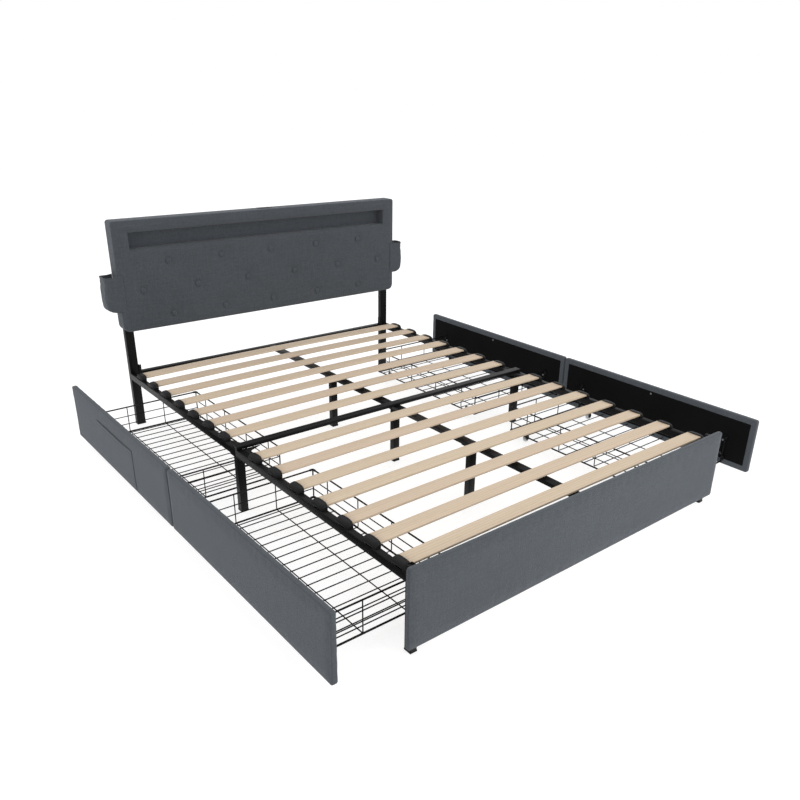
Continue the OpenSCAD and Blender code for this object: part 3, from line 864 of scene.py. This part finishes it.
def add_hole_edge(build, panel, hole_a, hole_b):
    """Rolls the cloth into the niche, round the hole in the face."""
    ia = [i for i in range(panel.na) if hole_a[0] - 1e-6 <= panel.lines_a[i] <= hole_a[1] + 1e-6]
    jb = [j for j in range(panel.nb) if hole_b[0] - 1e-6 <= panel.lines_b[j] <= hole_b[1] + 1e-6]
    loop = [(i, jb[0], 0, -1) for i in ia]
    loop += [(ia[-1], j, 1, 0) for j in jb[1:]]
    loop += [(i, jb[-1], 0, 1) for i in ia[-2::-1]]
    loop += [(ia[0], j, -1, 0) for j in jb[-2:0:-1]]
    base = np.array([panel.face[panel.index(i, j)] for i, j, _, _ in loop])
    inward = -np.array([(a, b) for _, _, a, b in loop], float)
    corners = {0, len(ia) - 1, len(ia) + len(jb) - 2, 2 * len(ia) + len(jb) - 3}
    for k in corners:
        a, b = base[k, :2]
        centre = np.array([(hole_a[0] + hole_a[1]) / 2, (hole_b[0] + hole_b[1]) / 2])
        inward[k] = np.sign(centre - np.array([a, b]))
    rows = []
    roll = ((0.0010, 0.0042), (0.0021, 0.0056), (0.0029, 0.0074), (0.0034, 0.0098), (0.0034, 0.018))
    for offset, c in roll:
        ring = base.copy()
        ring[:, :2] += inward * offset
        ring[:, 2] = c
        rows.append(ring)
    n = len(loop)
    first = build.count
    build.add(np.concatenate(rows), [])
    for i in range(len(rows)):
        for j in range(n):
            k = (j + 1) % n
            if i == 0:
                a0 = panel.index(loop[j][0], loop[j][1])
                a1 = panel.index(loop[k][0], loop[k][1])
            else:
                a0, a1 = first + (i - 1) * n + j, first + (i - 1) * n + k
            build.faces.append((a1, first + i * n + k, first + i * n + j, a0))


def make_niche():
    """The niche's lining: a box of cloth with soft inner corners and a slight sag."""
    lo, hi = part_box("headboard_niche")
    width, height = hi.x - lo.x - 2 * NICHE_WALL, hi.z - lo.z - 2 * NICHE_WALL
    middle_z = (lo.z + hi.z) / 2
    build = Build()
    rows = []
    counts = None
    depth = hi.y - lo.y - NICHE_WALL
    for y, grow, r in (
        (0.007, 0.0022, 0.004),
        (0.009, 0.0014, 0.004),
        (depth * 0.5, 0.0010, 0.005),
        (depth - 0.006, 0.0008, 0.006),
        (depth - 0.0015, -0.0010, 0.006),
        (depth, -NICHE_ROLL, 0.006),
    ):
        outline = rounded_outline(width + 2 * grow, height + 2 * grow, r, 3)
        following = np.roll(outline, -1, 0)
        if counts is None:
            lengths = np.linalg.norm(following - outline, axis=1)
            counts = [max(1, round(length / 0.02)) for length in lengths]
        steps = zip(outline, following, counts)
        across, up = np.array([p + (q - p) * k / n for p, q, n in steps for k in range(n)]).T
        rows.append(np.stack([across, np.full(len(across), lo.y + y), middle_z + up], 1))
    n = len(rows[0])
    build.grid(np.concatenate(rows), len(rows), n, close=True)
    columns = 70
    lines = 6
    a = np.linspace(-width / 2 + NICHE_ROLL, width / 2 - NICHE_ROLL, columns)
    b = np.linspace(-height / 2 + NICHE_ROLL, height / 2 - NICHE_ROLL, lines)
    grid_a, grid_b = np.meshgrid(a, b, indexing="ij")
    back = np.stack([grid_a.ravel(), np.full(grid_a.size, lo.y + depth), middle_z + grid_b.ravel()], 1)
    back[:, 1] += softly(back, 0.18, 0.0008, 3)
    build.grid(back, columns, lines)
    # The lining takes the lighter copy of the cloth, which is painted light inside the recess
    piece = build.make("headboard_niche_lining", SLATE_PAINTED_LIGHTER)
    settle(piece, "frame", "slate_fabric", "headboard_niche")


def make_buttons():
    """Covered buttons: a domed cap, the cloth gathered under its rim."""
    build = Build()
    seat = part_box("headboard_cover")[0].y + 0.0065
    profile = (
        (0.004, 0.0080), (0.0015, 0.0118), (0.0, BUTTON_R), (-0.0018, BUTTON_R * 0.98),
        (-0.0034, BUTTON_R * 0.88), (-0.0046, BUTTON_R * 0.66), (-0.0053, BUTTON_R * 0.36),
        (-0.0055, 0.0004),
    )
    for x, z in button_places():
        turned(build, profile[::-1], (x, seat, z), 1, sides=28)
    points = np.concatenate(build.points)
    spots = np.array(button_places())
    far = np.hypot(points[:, 0, None] - spots[:, 0], points[:, 2, None] - spots[:, 1])
    nearest = np.argmin(far, axis=1)
    across, up = points[:, 0] - spots[nearest, 0], points[:, 2] - spots[nearest, 1]
    angle = np.arctan2(up, across)
    radius = np.hypot(up, across)
    gather = 0.00025 * np.sin(angle * 7 + nearest) * np.clip(radius / BUTTON_R, 0, 1) ** 3
    points[:, 0] += gather * np.cos(angle)
    points[:, 2] += gather * np.sin(angle)
    build.points = [points]
    piece = build.make("headboard_button_caps", SLATE)
    settle(piece, "frame", "slate_fabric", "headboard_buttons")


def pouch_profile(t):
    """How far a pouch stands out at height t, from 0 at its bottom to 1 at its top."""
    heights = (0.0, 0.03, 0.08, 0.15, 0.30, 0.55, 0.70, 0.79, 0.84, 0.90, 0.95, 1.0)
    reach = (0.34, 0.62, 0.84, 0.94, 1.0, 1.0, 0.97, 0.915, 0.94, 0.925, 0.955, 0.96)
    return float(np.interp(t, heights, reach))


def pouch_plan(out, half, flap, r):
    """A pouch's wall from above: over the headboard's front, out, along the end and back to it."""
    turns = [math.radians(15 * k) for k in range(1, 6)]
    path = [(-flap + (flap + out - r) * k / 11, -half) for k in range(12)]
    path += [(out - r + r * math.sin(a), -half + r - r * math.cos(a)) for a in turns]
    path += [(out, -half + r + (2 * half - 2 * r) * k / 12) for k in range(13)]
    path += [(out - r + r * math.cos(a), half - r + r * math.sin(a)) for a in turns]
    path += [((out - r) * (1 - k / 6), half) for k in range(7)]
    return path


def make_pouch(side_name):
    side = SIDES[side_name]
    node_name = f"headboard_pouch_{side_name}"
    lo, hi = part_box(node_name)
    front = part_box("headboard_cover")[0].y - POUCH_FLAP_RISE
    reach, height = hi.x - lo.x, hi.z - lo.z
    middle, half = (front + hi.y) / 2, (hi.y - front) / 2
    wall_x = lo.x if side > 0 else hi.x
    rows = 38
    seed = 21 if side > 0 else 22
    build = Build()

    def wall_at(t, inset):
        out = reach * pouch_profile(t) - inset
        ends = 1 - 0.10 * (1 - min(1.0, t * 6)) ** 2
        return pouch_plan(out, half * ends - inset, POUCH_FLAP, POUCH_CORNER_R - inset)

    columns = len(wall_at(1.0, 0.0))

    def shell(inset):
        points = []
        for i in range(rows):
            t = i / (rows - 1)
            z = lo.z + height * t + inset * (1 - t)
            points += [(x, y, z) for x, y in wall_at(t, inset)]
        points = np.array(points)
        t = (points[:, 2] - lo.z) / height
        free = np.clip(points[:, 0] / reach, 0, 1) * np.clip((1 - t) / 0.15, 0, 1)
        crease = softly(np.stack([points[:, 1] * 2.2, points[:, 2], points[:, 0]], 1), 0.05, 0.0022, seed)
        points[:, 0] += crease * free
        # The two folds of the cuff, and the mouth's slack edge
        along = np.clip(points[:, 0] / (0.3 * reach), 0, 1)
        for level in (0.845, 0.925):
            points[:, 0] -= 0.0011 * along * np.exp(-(((t - level) / 0.012) ** 2))
        points[:, 2] -= POUCH_MOUTH_SAG * along * np.clip((t - 0.9) / 0.1, 0, 1) * (points[:, 1] / half) ** 2
        return points

    outer = shell(0.0)
    inner = shell(POUCH_CLOTH_T)
    build.grid(outer, rows, columns, flip=True)
    build.grid(inner, rows, columns)
    first = build.count - 2 * rows * columns
    for j in range(columns - 1):
        a, b = first + (rows - 1) * columns + j, first + (rows - 1) * columns + j + 1
        c, d = a + rows * columns, b + rows * columns
        build.faces.append((a, b, d, c))
    build.cap(first, columns)
    build.cap(first + rows * columns, columns, flip=True)

    def to_world(points):
        x = wall_x + side * points[:, 0]
        return np.stack([x, middle + points[:, 1], points[:, 2]], 1), side < 0

    piece = build.make(f"headboard_pouch_bag_{side_name}", SLATE, place=to_world)
    refine(piece)
    settle(piece, "frame", "slate_fabric", node_name)

    # The cloth turned inside the mouth, as a soft rolled edge
    hem = Build()
    path = []
    for x, y in wall_at(1.0, POUCH_CLOTH_T / 2):
        sag = POUCH_MOUTH_SAG * min(1, max(0, x) / (0.3 * reach)) * (y / half) ** 2
        path.append((x, y, hi.z - 0.001 - sag))
    add_wire(hem, path[1:-1], 0.0017, 8)
    band = hem.make(f"headboard_pouch_hem_{side_name}", SLATE, place=to_world)
    settle(band, "frame", "slate_fabric")


# ---------------------------------------------------------------- steel frame


def make_bars():
    """Square tubes with round corners, in the place of the frame's plain ones."""
    tubes = {
        "head_rail": (0, 0.003), "foot_rail": (0, 0.003), "crossbar": (0, 0.003),
        "side_rail_head_left": (1, 0.004), "side_rail_head_right": (1, 0.004),
        "side_rail_foot_left": (1, 0.004), "side_rail_foot_right": (1, 0.004),
        "post_left": (2, 0.004), "post_right": (2, 0.004),
        "foot_leg_left": (2, 0.003), "foot_leg_right": (2, 0.003),
    }
    for name, (axis, r) in tubes.items():
        lo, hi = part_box(name)
        build = Build()
        bar(build, lo, hi, axis, r, chamfer=0.0008)
        settle(build.make(f"{name}_tube", STEEL), "frame", "frame_steel", name)
    lo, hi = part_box("centre_rails")
    build = Build()
    for y0, y1 in ((lo.y, -0.0005), (0.0005, hi.y)):
        bar(build, (lo.x, y0, lo.z), (hi.x, y1, hi.z), 1, 0.002)
    settle(build.make("centre_rail_tubes", STEEL), "frame", "frame_steel", "centre_rails")


def make_short_legs():
    """Square legs, each with a folded plate under the rails."""
    for name in ("centre_leg_head", "centre_leg_middle", "centre_leg_foot", "mid_leg_left", "mid_leg_right"):
        lo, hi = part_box(name)
        x, y = (lo.x + hi.x) / 2, (lo.y + hi.y) / 2
        build = Build()
        h = LEG_W / 2
        under = hi.z - PLATE_T
        bar(build, (x - h, y - h, lo.z), (x + h, y + h, under), 2, 0.003)
        bar(build, (lo.x, lo.y, under), (hi.x, hi.y, hi.z), 2, 0.002, chamfer=0.0004)
        settle(build.make(f"{name}_post", STEEL), "frame", "frame_steel", name)


# ---------------------------------------------------------------- slats


def slat_places(node_name):
    """The middle Y of each slat of a node, and a slat's width, from its mesh."""
    ys = sorted({round(v.co.y, 4) for v in nodes[node_name].data.vertices})
    return [(a + b) / 2 for a, b in zip(ys[::2], ys[1::2])], ys[1] - ys[0]


def make_slats():
    """Planed boards with eased edges and a slight camber, each with grain of its own."""
    number = 0
    for half in ("foot", "head"):
        node_name = f"{half}_slats"
        lo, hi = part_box(node_name)
        middles, width = slat_places(node_name)
        for y in middles:
            number += 1
            outline = rounded_outline(width, hi.z - lo.z, 0.0018, 3)
            n = len(outline)
            rows = []
            for k in range(SLAT_STEPS + 1):
                x = lo.x + (hi.x - lo.x) * k / SLAT_STEPS
                camber = SLAT_CAMBER * math.sin(math.pi * k / SLAT_STEPS)
                up = (lo.z + hi.z) / 2 + outline[:, 1] + camber
                rows.append(np.stack([np.full(n, x), y + outline[:, 0], up], 1))
            build = Build()
            build.grid(np.concatenate(rows), len(rows), n, close=True, flip=True)
            build.cap(0, n)
            build.cap(SLAT_STEPS * n, n, flip=True)
            piece = build.make(f"slat_{number:02d}", WOOD)
            board = piece.data.attributes.new("board", "FLOAT", "POINT")
            value = np.full(len(piece.data.vertices), rng.uniform(0, 1), np.float32)
            board.data.foreach_set("value", value)
            settle(piece, "frame", "slat_wood", node_name)


def cap_ring(half, high, squareness, inset):
    """Half of a cap's outline seen along the slat: y and z from one foot over the top to the other."""
    ring = []
    for i in range(CAP_SIDES + 1):
        a = math.pi * i / CAP_SIDES
        ca, sa = math.cos(a), math.sin(a)
        y = (half - inset) * math.copysign(abs(ca) ** squareness, ca)
        ring.append((y, (high - inset) * abs(sa) ** squareness))
    return ring


def make_slat_holders():
    """Moulded caps: a dome at the outer end, and a thin-lipped mouth round the slat."""
    middles = slat_places("foot_slats")[0] + slat_places("head_slats")[0]
    rail_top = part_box("side_rail_head_left")[1].z
    for side_name, side in SIDES.items():
        node_name = f"slat_holders_{side_name}"
        lo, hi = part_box(node_name)
        outer = hi.x if side > 0 else -lo.x
        wide, high = hi.x - lo.x - CAP_SHORTER, CAP_HEIGHT_SHARE * (hi.z - rail_top)
        half = min(hi.y - max(middles), min(middles) - lo.y) - CAP_NARROWER
        # Each ring: how far in from the outer end, size, squareness, inset
        rings = (
            (0.0, 0.34, 0.80, 0.0), (0.0006, 0.50, 0.80, 0.0), (0.0018, 0.66, 0.78, 0.0),
            (0.0038, 0.81, 0.74, 0.0), (0.0065, 0.92, 0.65, 0.0), (0.0100, 0.985, 0.56, 0.0),
            (0.0140, 1.0, 0.49, 0.0), (0.0180, 1.0, 0.46, 0.0), (wide - 0.0040, 1.0, 0.43, 0.0),
            (wide - 0.0034, 1.02, 0.43, 0.0), (wide - 0.0008, 1.02, 0.43, 0.0), (wide, 1.0, 0.43, 0.0004),
            (wide, 1.0, 0.43, 0.0016), (wide - 0.0006, 1.0, 0.43, 0.0022), (wide - 0.0080, 1.0, 0.43, 0.0024),
        )
        build = Build()
        for y in middles:
            rows = []
            for far, size, squareness, inset in rings:
                for p, q in cap_ring(half * (0.55 + 0.45 * size), high * size, squareness, inset):
                    bulge = CAP_BULGE * (0.4 - (p / half) ** 2) * np.clip((far - 0.015) / 0.015, 0, 1)
                    rows.append((outer - far - bulge, y + p, rail_top + q))
            n = CAP_SIDES + 1
            first = build.count
            build.grid(np.array(rows), len(rings), n, flip=True)
            build.cap(first, n, flip=True)
            build.cap(first + (len(rings) - 1) * n, n)
            peg = ((-0.006, 0.0030), (0.001, 0.0034))
            turned(build, peg, (outer - RAIL_MIDDLE, y, rail_top), 2, sides=16)

        def to_world(points, side=side):
            points = points.copy()
            points[:, 0] *= side
            return points, side < 0

        piece = build.make(f"slat_caps_{side_name}", PLASTIC, place=to_world)
        settle(piece, "frame", "black_plastic", node_name)


# ---------------------------------------------------------------- drawers


def drawer_place(side_name, end):
    """A function that takes a drawer's own coordinates into the frame."""
    side = SIDES[side_name]
    lo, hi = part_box(f"drawer_{end}_{side_name}_front")
    face = hi.x if side > 0 else -lo.x
    middle = (lo.y + hi.y) / 2

    def place(points):
        points = np.asarray(points, float)
        moved = np.stack([side * (face + points[:, 0]), middle + points[:, 1], points[:, 2]], 1)
        return moved, side < 0

    return place


def make_front(side_name, end):
    name = f"drawer_{end}_{side_name}"
    lo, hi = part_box(f"{name}_front")
    place = drawer_place(side_name, end)
    middle = (lo.z + hi.z) / 2

    def to_world(points):
        a, b, c = points.T
        # a runs along the bed, b is up, c is the depth behind the outer face
        return place(np.stack([-c, a, middle + b], 1))

    fabric_panel(
        f"{name}_upholstery", (hi.y - lo.y, hi.z - lo.z, hi.x - lo.x), name, f"{name}_front",
        to_world, seed=31 + ENDS.index(end) + 2 * (side_name == "left"),
    )


def make_basket(side_name, end):
    """A welded wire basket: rim and bottom bars, floor wires, end and back panels, and plastic corner sleeves
    and clips.
    """
    name = f"drawer_{end}_{side_name}"
    front_lo, front_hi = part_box(f"{name}_front")
    lo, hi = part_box(f"{name}_basket")
    thick = front_hi.x - front_lo.x
    deep = hi.x - lo.x
    half = (hi.y - lo.y) / 2 - RIM_R
    front = -thick
    back = -thick - deep + RIM_R
    top = hi.z - RIM_R
    low = BASKET_BAR_Z
    floor = low + BAR_R + WIRE_R - 0.001
    place = drawer_place(side_name, end)
    build = Build()

    # The rim and the bottom bar each run from the front, round the back and to the front again
    for z, r in ((top, RIM_R), (low, BAR_R)):
        corners = ((front, -half, z), (back, -half, z), (back, half, z), (front, half, z))
        add_wire(build, bend(corners, BASKET_BEND_R, 5), r, 10)
    # Thinner wires round the two ends and the back
    for z in (0.113, 0.076):
        inset = WIRE_R + RIM_R - 0.001
        corners = (
            (front, -half + inset, z), (back + inset, -half + inset, z),
            (back + inset, half - inset, z), (front, half - inset, z),
        )
        add_wire(build, bend(corners, BASKET_BEND_R, 5), WIRE_R, 8)
    # Floor wires run back, and four of them turn up the back panel
    for k in range(1, FLOOR_WIRES):
        y = -half + 2 * half * k / FLOOR_WIRES
        if abs(k - FLOOR_WIRES // 2) in (2, 6):
            corners = ((front, y, floor), (back, y, floor), (back, y, top))
            add_wire(build, bend(corners, 0.006, 3), WIRE_R, 8)
        else:
            add_wire(build, ((front, y, floor), (back, y, floor)), WIRE_R, 8)
    for s in (-1, 1):
        y = s * (half - 0.025)
        add_wire(build, ((front, y, floor), (back, y, floor)), WIRE_R, 8)
    # Lengthwise wires under the floor, which turn up both ends
    for u in (front - deep / 3, front - 2 * deep / 3):
        z = floor - 2 * WIRE_R
        corners = ((u, -half, top), (u, -half, z), (u, half, z), (u, half, top))
        add_wire(build, bend(corners, 0.006, 3), WIRE_R, 8)
    # Uprights at the front, where the basket is fixed to the board, and at the back corners
    for s in (-1, 1):
        for u, v, r in ((front - 0.004, s * half, 0.8), (back + 0.0025, s * (half - 0.0025), 0.9)):
            add_wire(build, ((u, v, low), (u, v, top)), RIM_R * r, 8)
    wires = build.make(f"{name}_wire_basket", WIRE, place=place)
    settle(wires, name, "wire_steel", f"{name}_basket")

    # Sleeves that join the rim at the two back corners, and clips that hold it to the board
    clips = Build()
    for s in (-1, 1):
        for z in (top, low):
            corners = ((back, s * (half - 0.014), z), (back, s * half, z), (back + 0.014, s * half, z))
            add_wire(clips, bend(corners, BASKET_BEND_R, 5), (RIM_R if z == top else BAR_R) + 0.0014, 10)
        for z in (top - 0.002, low + 0.020):
            inner = (front - 0.006, s * half - 0.009, z - 0.012)
            outer = (front - 0.0005, s * half + 0.004, z + 0.006)
            bar(clips, inner, outer, 0, 0.0015, chamfer=0.0008)
    sleeve = clips.make(f"{name}_basket_clips", PLASTIC, place=place)
    settle(sleeve, name, "black_plastic")


def caster_centres(side_name, end, which):
    """Middles of the two wheels of a node, in the drawer's own coordinates."""
    name = f"drawer_{end}_{side_name}"
    side = SIDES[side_name]
    front_lo, front_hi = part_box(f"{name}_front")
    face = front_hi.x if side > 0 else -front_lo.x
    middle = (front_lo.y + front_hi.y) / 2
    lo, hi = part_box(f"{name}_{which}_wheels")
    u = side * (lo.x + hi.x) / 2 - face
    r = (hi.z - lo.z) / 2
    return [(u, lo.y + WHEEL_W / 2 - middle, r), (u, hi.y - WHEEL_W / 2 - middle, r)], r


def make_casters(side_name, end):
    name = f"drawer_{end}_{side_name}"
    place = drawer_place(side_name, end)
    forks = Build()
    h = WHEEL_W / 2
    for which in ("front", "rear"):
        centres, r = caster_centres(side_name, end, which)
        build = Build()
        for u, v, w in centres:
            tread = (
                (-h + 0.0015, 0.0056), (-h, 0.0064), (-h, 0.0104), (-h + 0.0012, 0.0118),
                (-h + 0.0012, 0.0138), (-h, 0.0148), (-h + 0.0006, r - 0.0014),
                (-h + 0.0022, r - 0.0002), (-0.0008, r), (0.0, r - 0.0005), (0.0008, r),
                (h - 0.0022, r - 0.0002), (h - 0.0006, r - 0.0014), (h, 0.0148),
                (h - 0.0012, 0.0138), (h - 0.0012, 0.0118), (h, 0.0104), (h, 0.0064),
                (h - 0.0015, 0.0056),
            )
            turned(build, tread, (u, v, w), 1, sides=40)
            # Five ribs on each face of the wheel, between the hub and the rim
            for s in (-1, 1):
                for k in range(5):
                    a = 2 * math.pi * k / 5
                    rib = []
                    for d in (0.0066, 0.0142):
                        rib.append((u + d * math.cos(a), v + s * (h - 0.0008), w + d * math.sin(a)))
                    add_wire(build, rib, 0.0009, 6)
        wheel = build.make(f"{name}_{which}_caster_wheels", CASTER, place=place)
        settle(wheel, f"{name}_{which}_wheels", "caster_plastic", f"{name}_{which}_wheels")
        for u, v, w in centres:
            gap = h + 0.001
            for s in (-1, 1):
                y0, y1 = sorted((v + s * gap, v + s * (gap + 0.0025)))
                bar(forks, (u - 0.008, y0, w - 0.007), (u + 0.008, y1, 0.0375), 1, 0.0035, chamfer=0.0005)
                cap = ((0.0, 0.0036), (s * 0.0012, 0.0034), (s * 0.0018, 0.0020))
                cap = cap if s > 0 else cap[::-1]
                turned(forks, cap, (u, v + s * (gap + 0.0025), w), 1, sides=20)
            bar(forks, (u - 0.010, v - gap - 0.003, 0.0362), (u + 0.010, v + gap + 0.003, 0.0388), 2, 0.003)
            bar(forks, (u - 0.006, v - gap - 0.006, 0.0380), (u + 0.006, v + gap + 0.006, 0.0424), 2, 0.002)
    piece = forks.make(f"{name}_caster_forks", PLASTIC, place=place)
    settle(piece, name, "black_plastic")


def make_screws(side_name, end):
    """Pan-head screws."""
    name = f"drawer_{end}_{side_name}"
    place = drawer_place(side_name, end)
    front_lo, front_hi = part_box(f"{name}_front")
    thick = front_hi.x - front_lo.x
    lo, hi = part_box(f"{name}_screws")
    reach = (hi.y - lo.y) / 2 - 0.005
    spots = [(0.0, hi.z - 0.005)]
    spots += [(s * reach, z) for s in (-1, 1) for z in (lo.z + 0.005, lo.z + 0.067)]
    build = Build()
    for v, w in spots:
        profile = ((0.0, 0.0048), (-0.0008, 0.0050), (-0.0018, 0.0042), (-0.0024, 0.0026), (-0.0026, 0.0004))
        turned(build, profile[::-1], (-thick, v, w), 0, sides=24)
    piece = build.make(f"{name}_screw_heads", ZINC, place=place)
    settle(piece, name, "zinc_steel", f"{name}_screws")


def make_pocket():
    """A patch pocket on the left head drawer: a hemmed sheet of cloth with rows of stitches."""
    name = "drawer_head_left"
    lo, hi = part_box(f"{name}_pocket")
    front_lo, front_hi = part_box(f"{name}_front")
    place = drawer_place("left", "head")
    middle = (front_lo.y + front_hi.y) / 2
    v0, v1 = lo.y - middle, hi.y - middle
    z0, z1 = lo.z, hi.z
    columns, rows = 72, 36
    # The cover's outer face, which stands out once its cloth is puffed: where it is at each place
    cover = np.array([v.co for v in bpy.data.objects[f"{name}_upholstery"].data.vertices])
    rise = -cover[:, 0] + front_lo.x
    on_face = rise > -0.002
    face_v, face_z, rise = cover[on_face, 1] - middle, cover[on_face, 2], rise[on_face]

    def seat(points):
        """How far out the cover stands under each point."""
        return np.array([rise[np.argmin((face_v - v) ** 2 + (face_z - z) ** 2)] for _, v, z in points])

    build = Build()
    outer, inner = [], []
    for i in range(rows + 1):
        t = i / rows
        for j in range(columns + 1):
            s = j / columns
            open_top = t**3 * math.sin(math.pi * s) ** 0.7
            edge = min(s, 1 - s) * (v1 - v0)
            flat = min(1.0, edge / 0.010, (t * (z1 - z0)) / 0.010)
            lift = 0.0012 + 0.0006 * flat + 0.0016 * open_top
            z = z0 + (z1 - z0) * t - 0.0015 * math.sin(math.pi * s) * t
            outer.append((lift, v0 + (v1 - v0) * s, z))
            inner.append((lift - 0.0011, v0 + (v1 - v0) * s, z))
    outer, inner = np.array(outer), np.array(inner)
    under = seat(outer)
    outer[:, 0] += under
    inner[:, 0] += under
    ripple = softly(outer * np.array([1.0, 1.0, 0.6]), 0.07, 0.0004, 8)
    outer[:, 0] += ripple * np.clip((outer[:, 2] - z0) / 0.05, 0, 1)
    inner[:, 0] += ripple * np.clip((inner[:, 2] - z0) / 0.05, 0, 1)
    inner[:, 0] = np.maximum(inner[:, 0], under + 0.0001)
    build.grid(outer, rows + 1, columns + 1, flip=True)
    build.grid(inner, rows + 1, columns + 1)
    n = columns + 1
    total = (rows + 1) * n
    border = [*range(n)] + [i * n + columns for i in range(1, rows + 1)]
    border += [rows * n + j for j in range(columns - 1, -1, -1)] + [i * n for i in range(rows - 1, 0, -1)]
    for a, b in zip(border, border[1:] + border[:1]):
        build.faces.append((a, b, total + b, total + a))
    piece = build.make(f"{name}_patch_pocket", SLATE, place=place)
    settle(piece, name, "slate_fabric", f"{name}_pocket")

    # The hem along the mouth, and stitches down the sides, along the bottom and under the hem
    hem = Build()
    ring = []
    for j in range(columns + 1):
        s = j / columns
        lift = 0.0014 + 0.0016 * math.sin(math.pi * s) ** 0.7
        ring.append((lift, v0 + (v1 - v0) * s, z1 - 0.0015 * math.sin(math.pi * s) - 0.001))
    ring = np.array(ring)
    ring[:, 0] += seat(ring)
    add_wire(hem, ring, 0.0012, 8)
    band = hem.make(f"{name}_pocket_hem", SLATE, place=place)
    settle(band, name, "slate_fabric")
    stitches = Build()
    inset = 0.006

    def stitch_line(start, end, lift):
        start, end = np.array(start), np.array(end)
        length = np.linalg.norm(end - start)
        count = int(length / 0.0055)
        for k in range(count):
            a = start + (end - start) * (k + 0.14) / count
            b = start + (end - start) * (k + 0.80) / count
            m = (a + b) / 2
            path = [(lift(*a) - 0.0002, *a), (lift(*m) + 0.0005, *m), (lift(*b) - 0.0002, *b)]
            add_wire(stitches, path, 0.00026, 5)

    def surface(v, z):
        """The pocket's outer face at a place near its edges."""
        near = np.argmin((outer[:, 1] - v) ** 2 + (outer[:, 2] - z) ** 2)
        return outer[near, 0]

    stitch_line((v0 + inset, z1 - 0.012), (v0 + inset, z0 + inset), surface)
    stitch_line((v1 - inset, z1 - 0.012), (v1 - inset, z0 + inset), surface)
    stitch_line((v0 + inset, z0 + inset), (v1 - inset, z0 + inset), surface)
    stitch_line((v0 + 0.004, z1 - 0.022), (v1 - 0.004, z1 - 0.022), surface)
    sewn = stitches.make(f"{name}_pocket_stitches", THREAD, place=place)
    settle(sewn, name, "slate_fabric")


# ---------------------------------------------------------------- footboard


def make_footboard():
    lo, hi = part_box("footboard_cover")
    middle = (lo.z + hi.z) / 2

    def to_world(points):
        a, b, c = points.T
        return np.stack([a, lo.y + c, middle + b], 1), False

    fabric_panel(
        "footboard_upholstery", (hi.x - lo.x, hi.z - lo.z, hi.y - lo.y), "frame", "footboard_cover",
        to_world, seed=41, crown=0.0018,
    )


# ---------------------------------------------------------------- camera, floor, light


def make_camera():
    """The photograph's viewpoint: where it stands, how it is turned, its lens and shift."""
    place = Vector((-1.86415, -2.38450, 1.46273))
    turn, rise, roll = (math.radians(a) for a in (-39.55, 24.21, 1.16))
    back = Vector((math.sin(turn) * math.cos(rise), -math.cos(turn) * math.cos(rise), math.sin(rise)))
    level = Vector((0, 0, 1)).cross(back).normalized()
    upright = back.cross(level)
    right = math.cos(roll) * level + math.sin(roll) * upright
    up = back.cross(right)
    data = bpy.data.cameras.new("camera")
    data.sensor_width = 36.0
    data.lens = 34.557
    data.shift_x = -0.0169
    data.shift_y = 0.0484
    data.clip_end = 60.0
    camera = bpy.data.objects.new("camera", data)
    bpy.context.scene.collection.objects.link(camera)
    matrix = camera.matrix_world.copy()
    for row in range(3):
        matrix[row] = (right[row], up[row], back[row], place[row])
    camera.matrix_world = matrix
    bpy.context.scene.camera = camera


def make_floor():
    material, tree, shader, coords = textured("studio_floor")
    stain = noise(tree, coords, 0.7, 4.0, 0.5)
    tone = ramp(tree, stain, ((0.3, (0.35, 0.35, 0.35)), (0.7, (0.37, 0.37, 0.37))))
    tree.links.new(tone, shader.inputs["Base Color"])
    shader.inputs["Roughness"].default_value = 0.75
    shader.inputs["Emission Color"].default_value = (1.0, 1.0, 1.0, 1.0)
    shader.inputs["Emission Strength"].default_value = FLOOR_GLOW
    build = Build()
    around = ((-1, -1), (1, -1), (1, 1), (-1, 1))
    corners = [(x * FLOOR_REACH, y * FLOOR_REACH, FLOOR_Z) for x, y in around]
    build.add(corners, [(0, 1, 2, 3)])
    floor = build.make("studio_floor", material, smooth=False)


def add_area(name, place, target, size, power):
    data = bpy.data.lights.new(name, "AREA")
    data.shape = "RECTANGLE"
    data.size, data.size_y = size
    data.energy = power
    lamp = bpy.data.objects.new(name, data)
    bpy.context.scene.collection.objects.link(lamp)
    lamp.location = place
    lamp.rotation_euler = (Vector(target) - Vector(place)).to_track_quat("-Z", "Y").to_euler()


def light_scene():
    world = bpy.data.worlds.new("studio")
    world.use_nodes = True
    background = world.node_tree.nodes["Background"]
    background.inputs["Color"].default_value = (1.0, 1.0, 1.0, 1.0)
    background.inputs["Strength"].default_value = 1.0
    bpy.context.scene.world = world
    bpy.context.scene.view_settings.view_transform = "Standard"
    add_area("key_light", (0.3, -2.8, 1.3), (0.1, -1.0, 0.15), (1.8, 1.4), 22.0)
    add_area("left_light", (-3.2, 1.3, 1.3), (-1.0, 0.5, 0.1), (2.0, 1.6), 5.0)
    add_area("top_light", (0.0, 0.6, 4.2), (0.0, 0.0, 0.0), (4.0, 4.0), 34.0)


# ---------------------------------------------------------------- the whole scene

make_camera()
make_floor()
light_scene()
dress_cad_nodes()
make_headboard()
make_niche()
make_buttons()
for side_name in SIDES:
    make_pouch(side_name)
make_bars()
make_short_legs()
make_slats()
make_slat_holders()
make_footboard()
for end in ENDS:
    for side_name in SIDES:
        make_front(side_name, end)
        make_basket(side_name, end)
        make_casters(side_name, end)
        make_screws(side_name, end)
make_pocket()

bpy.context.view_layer.update()
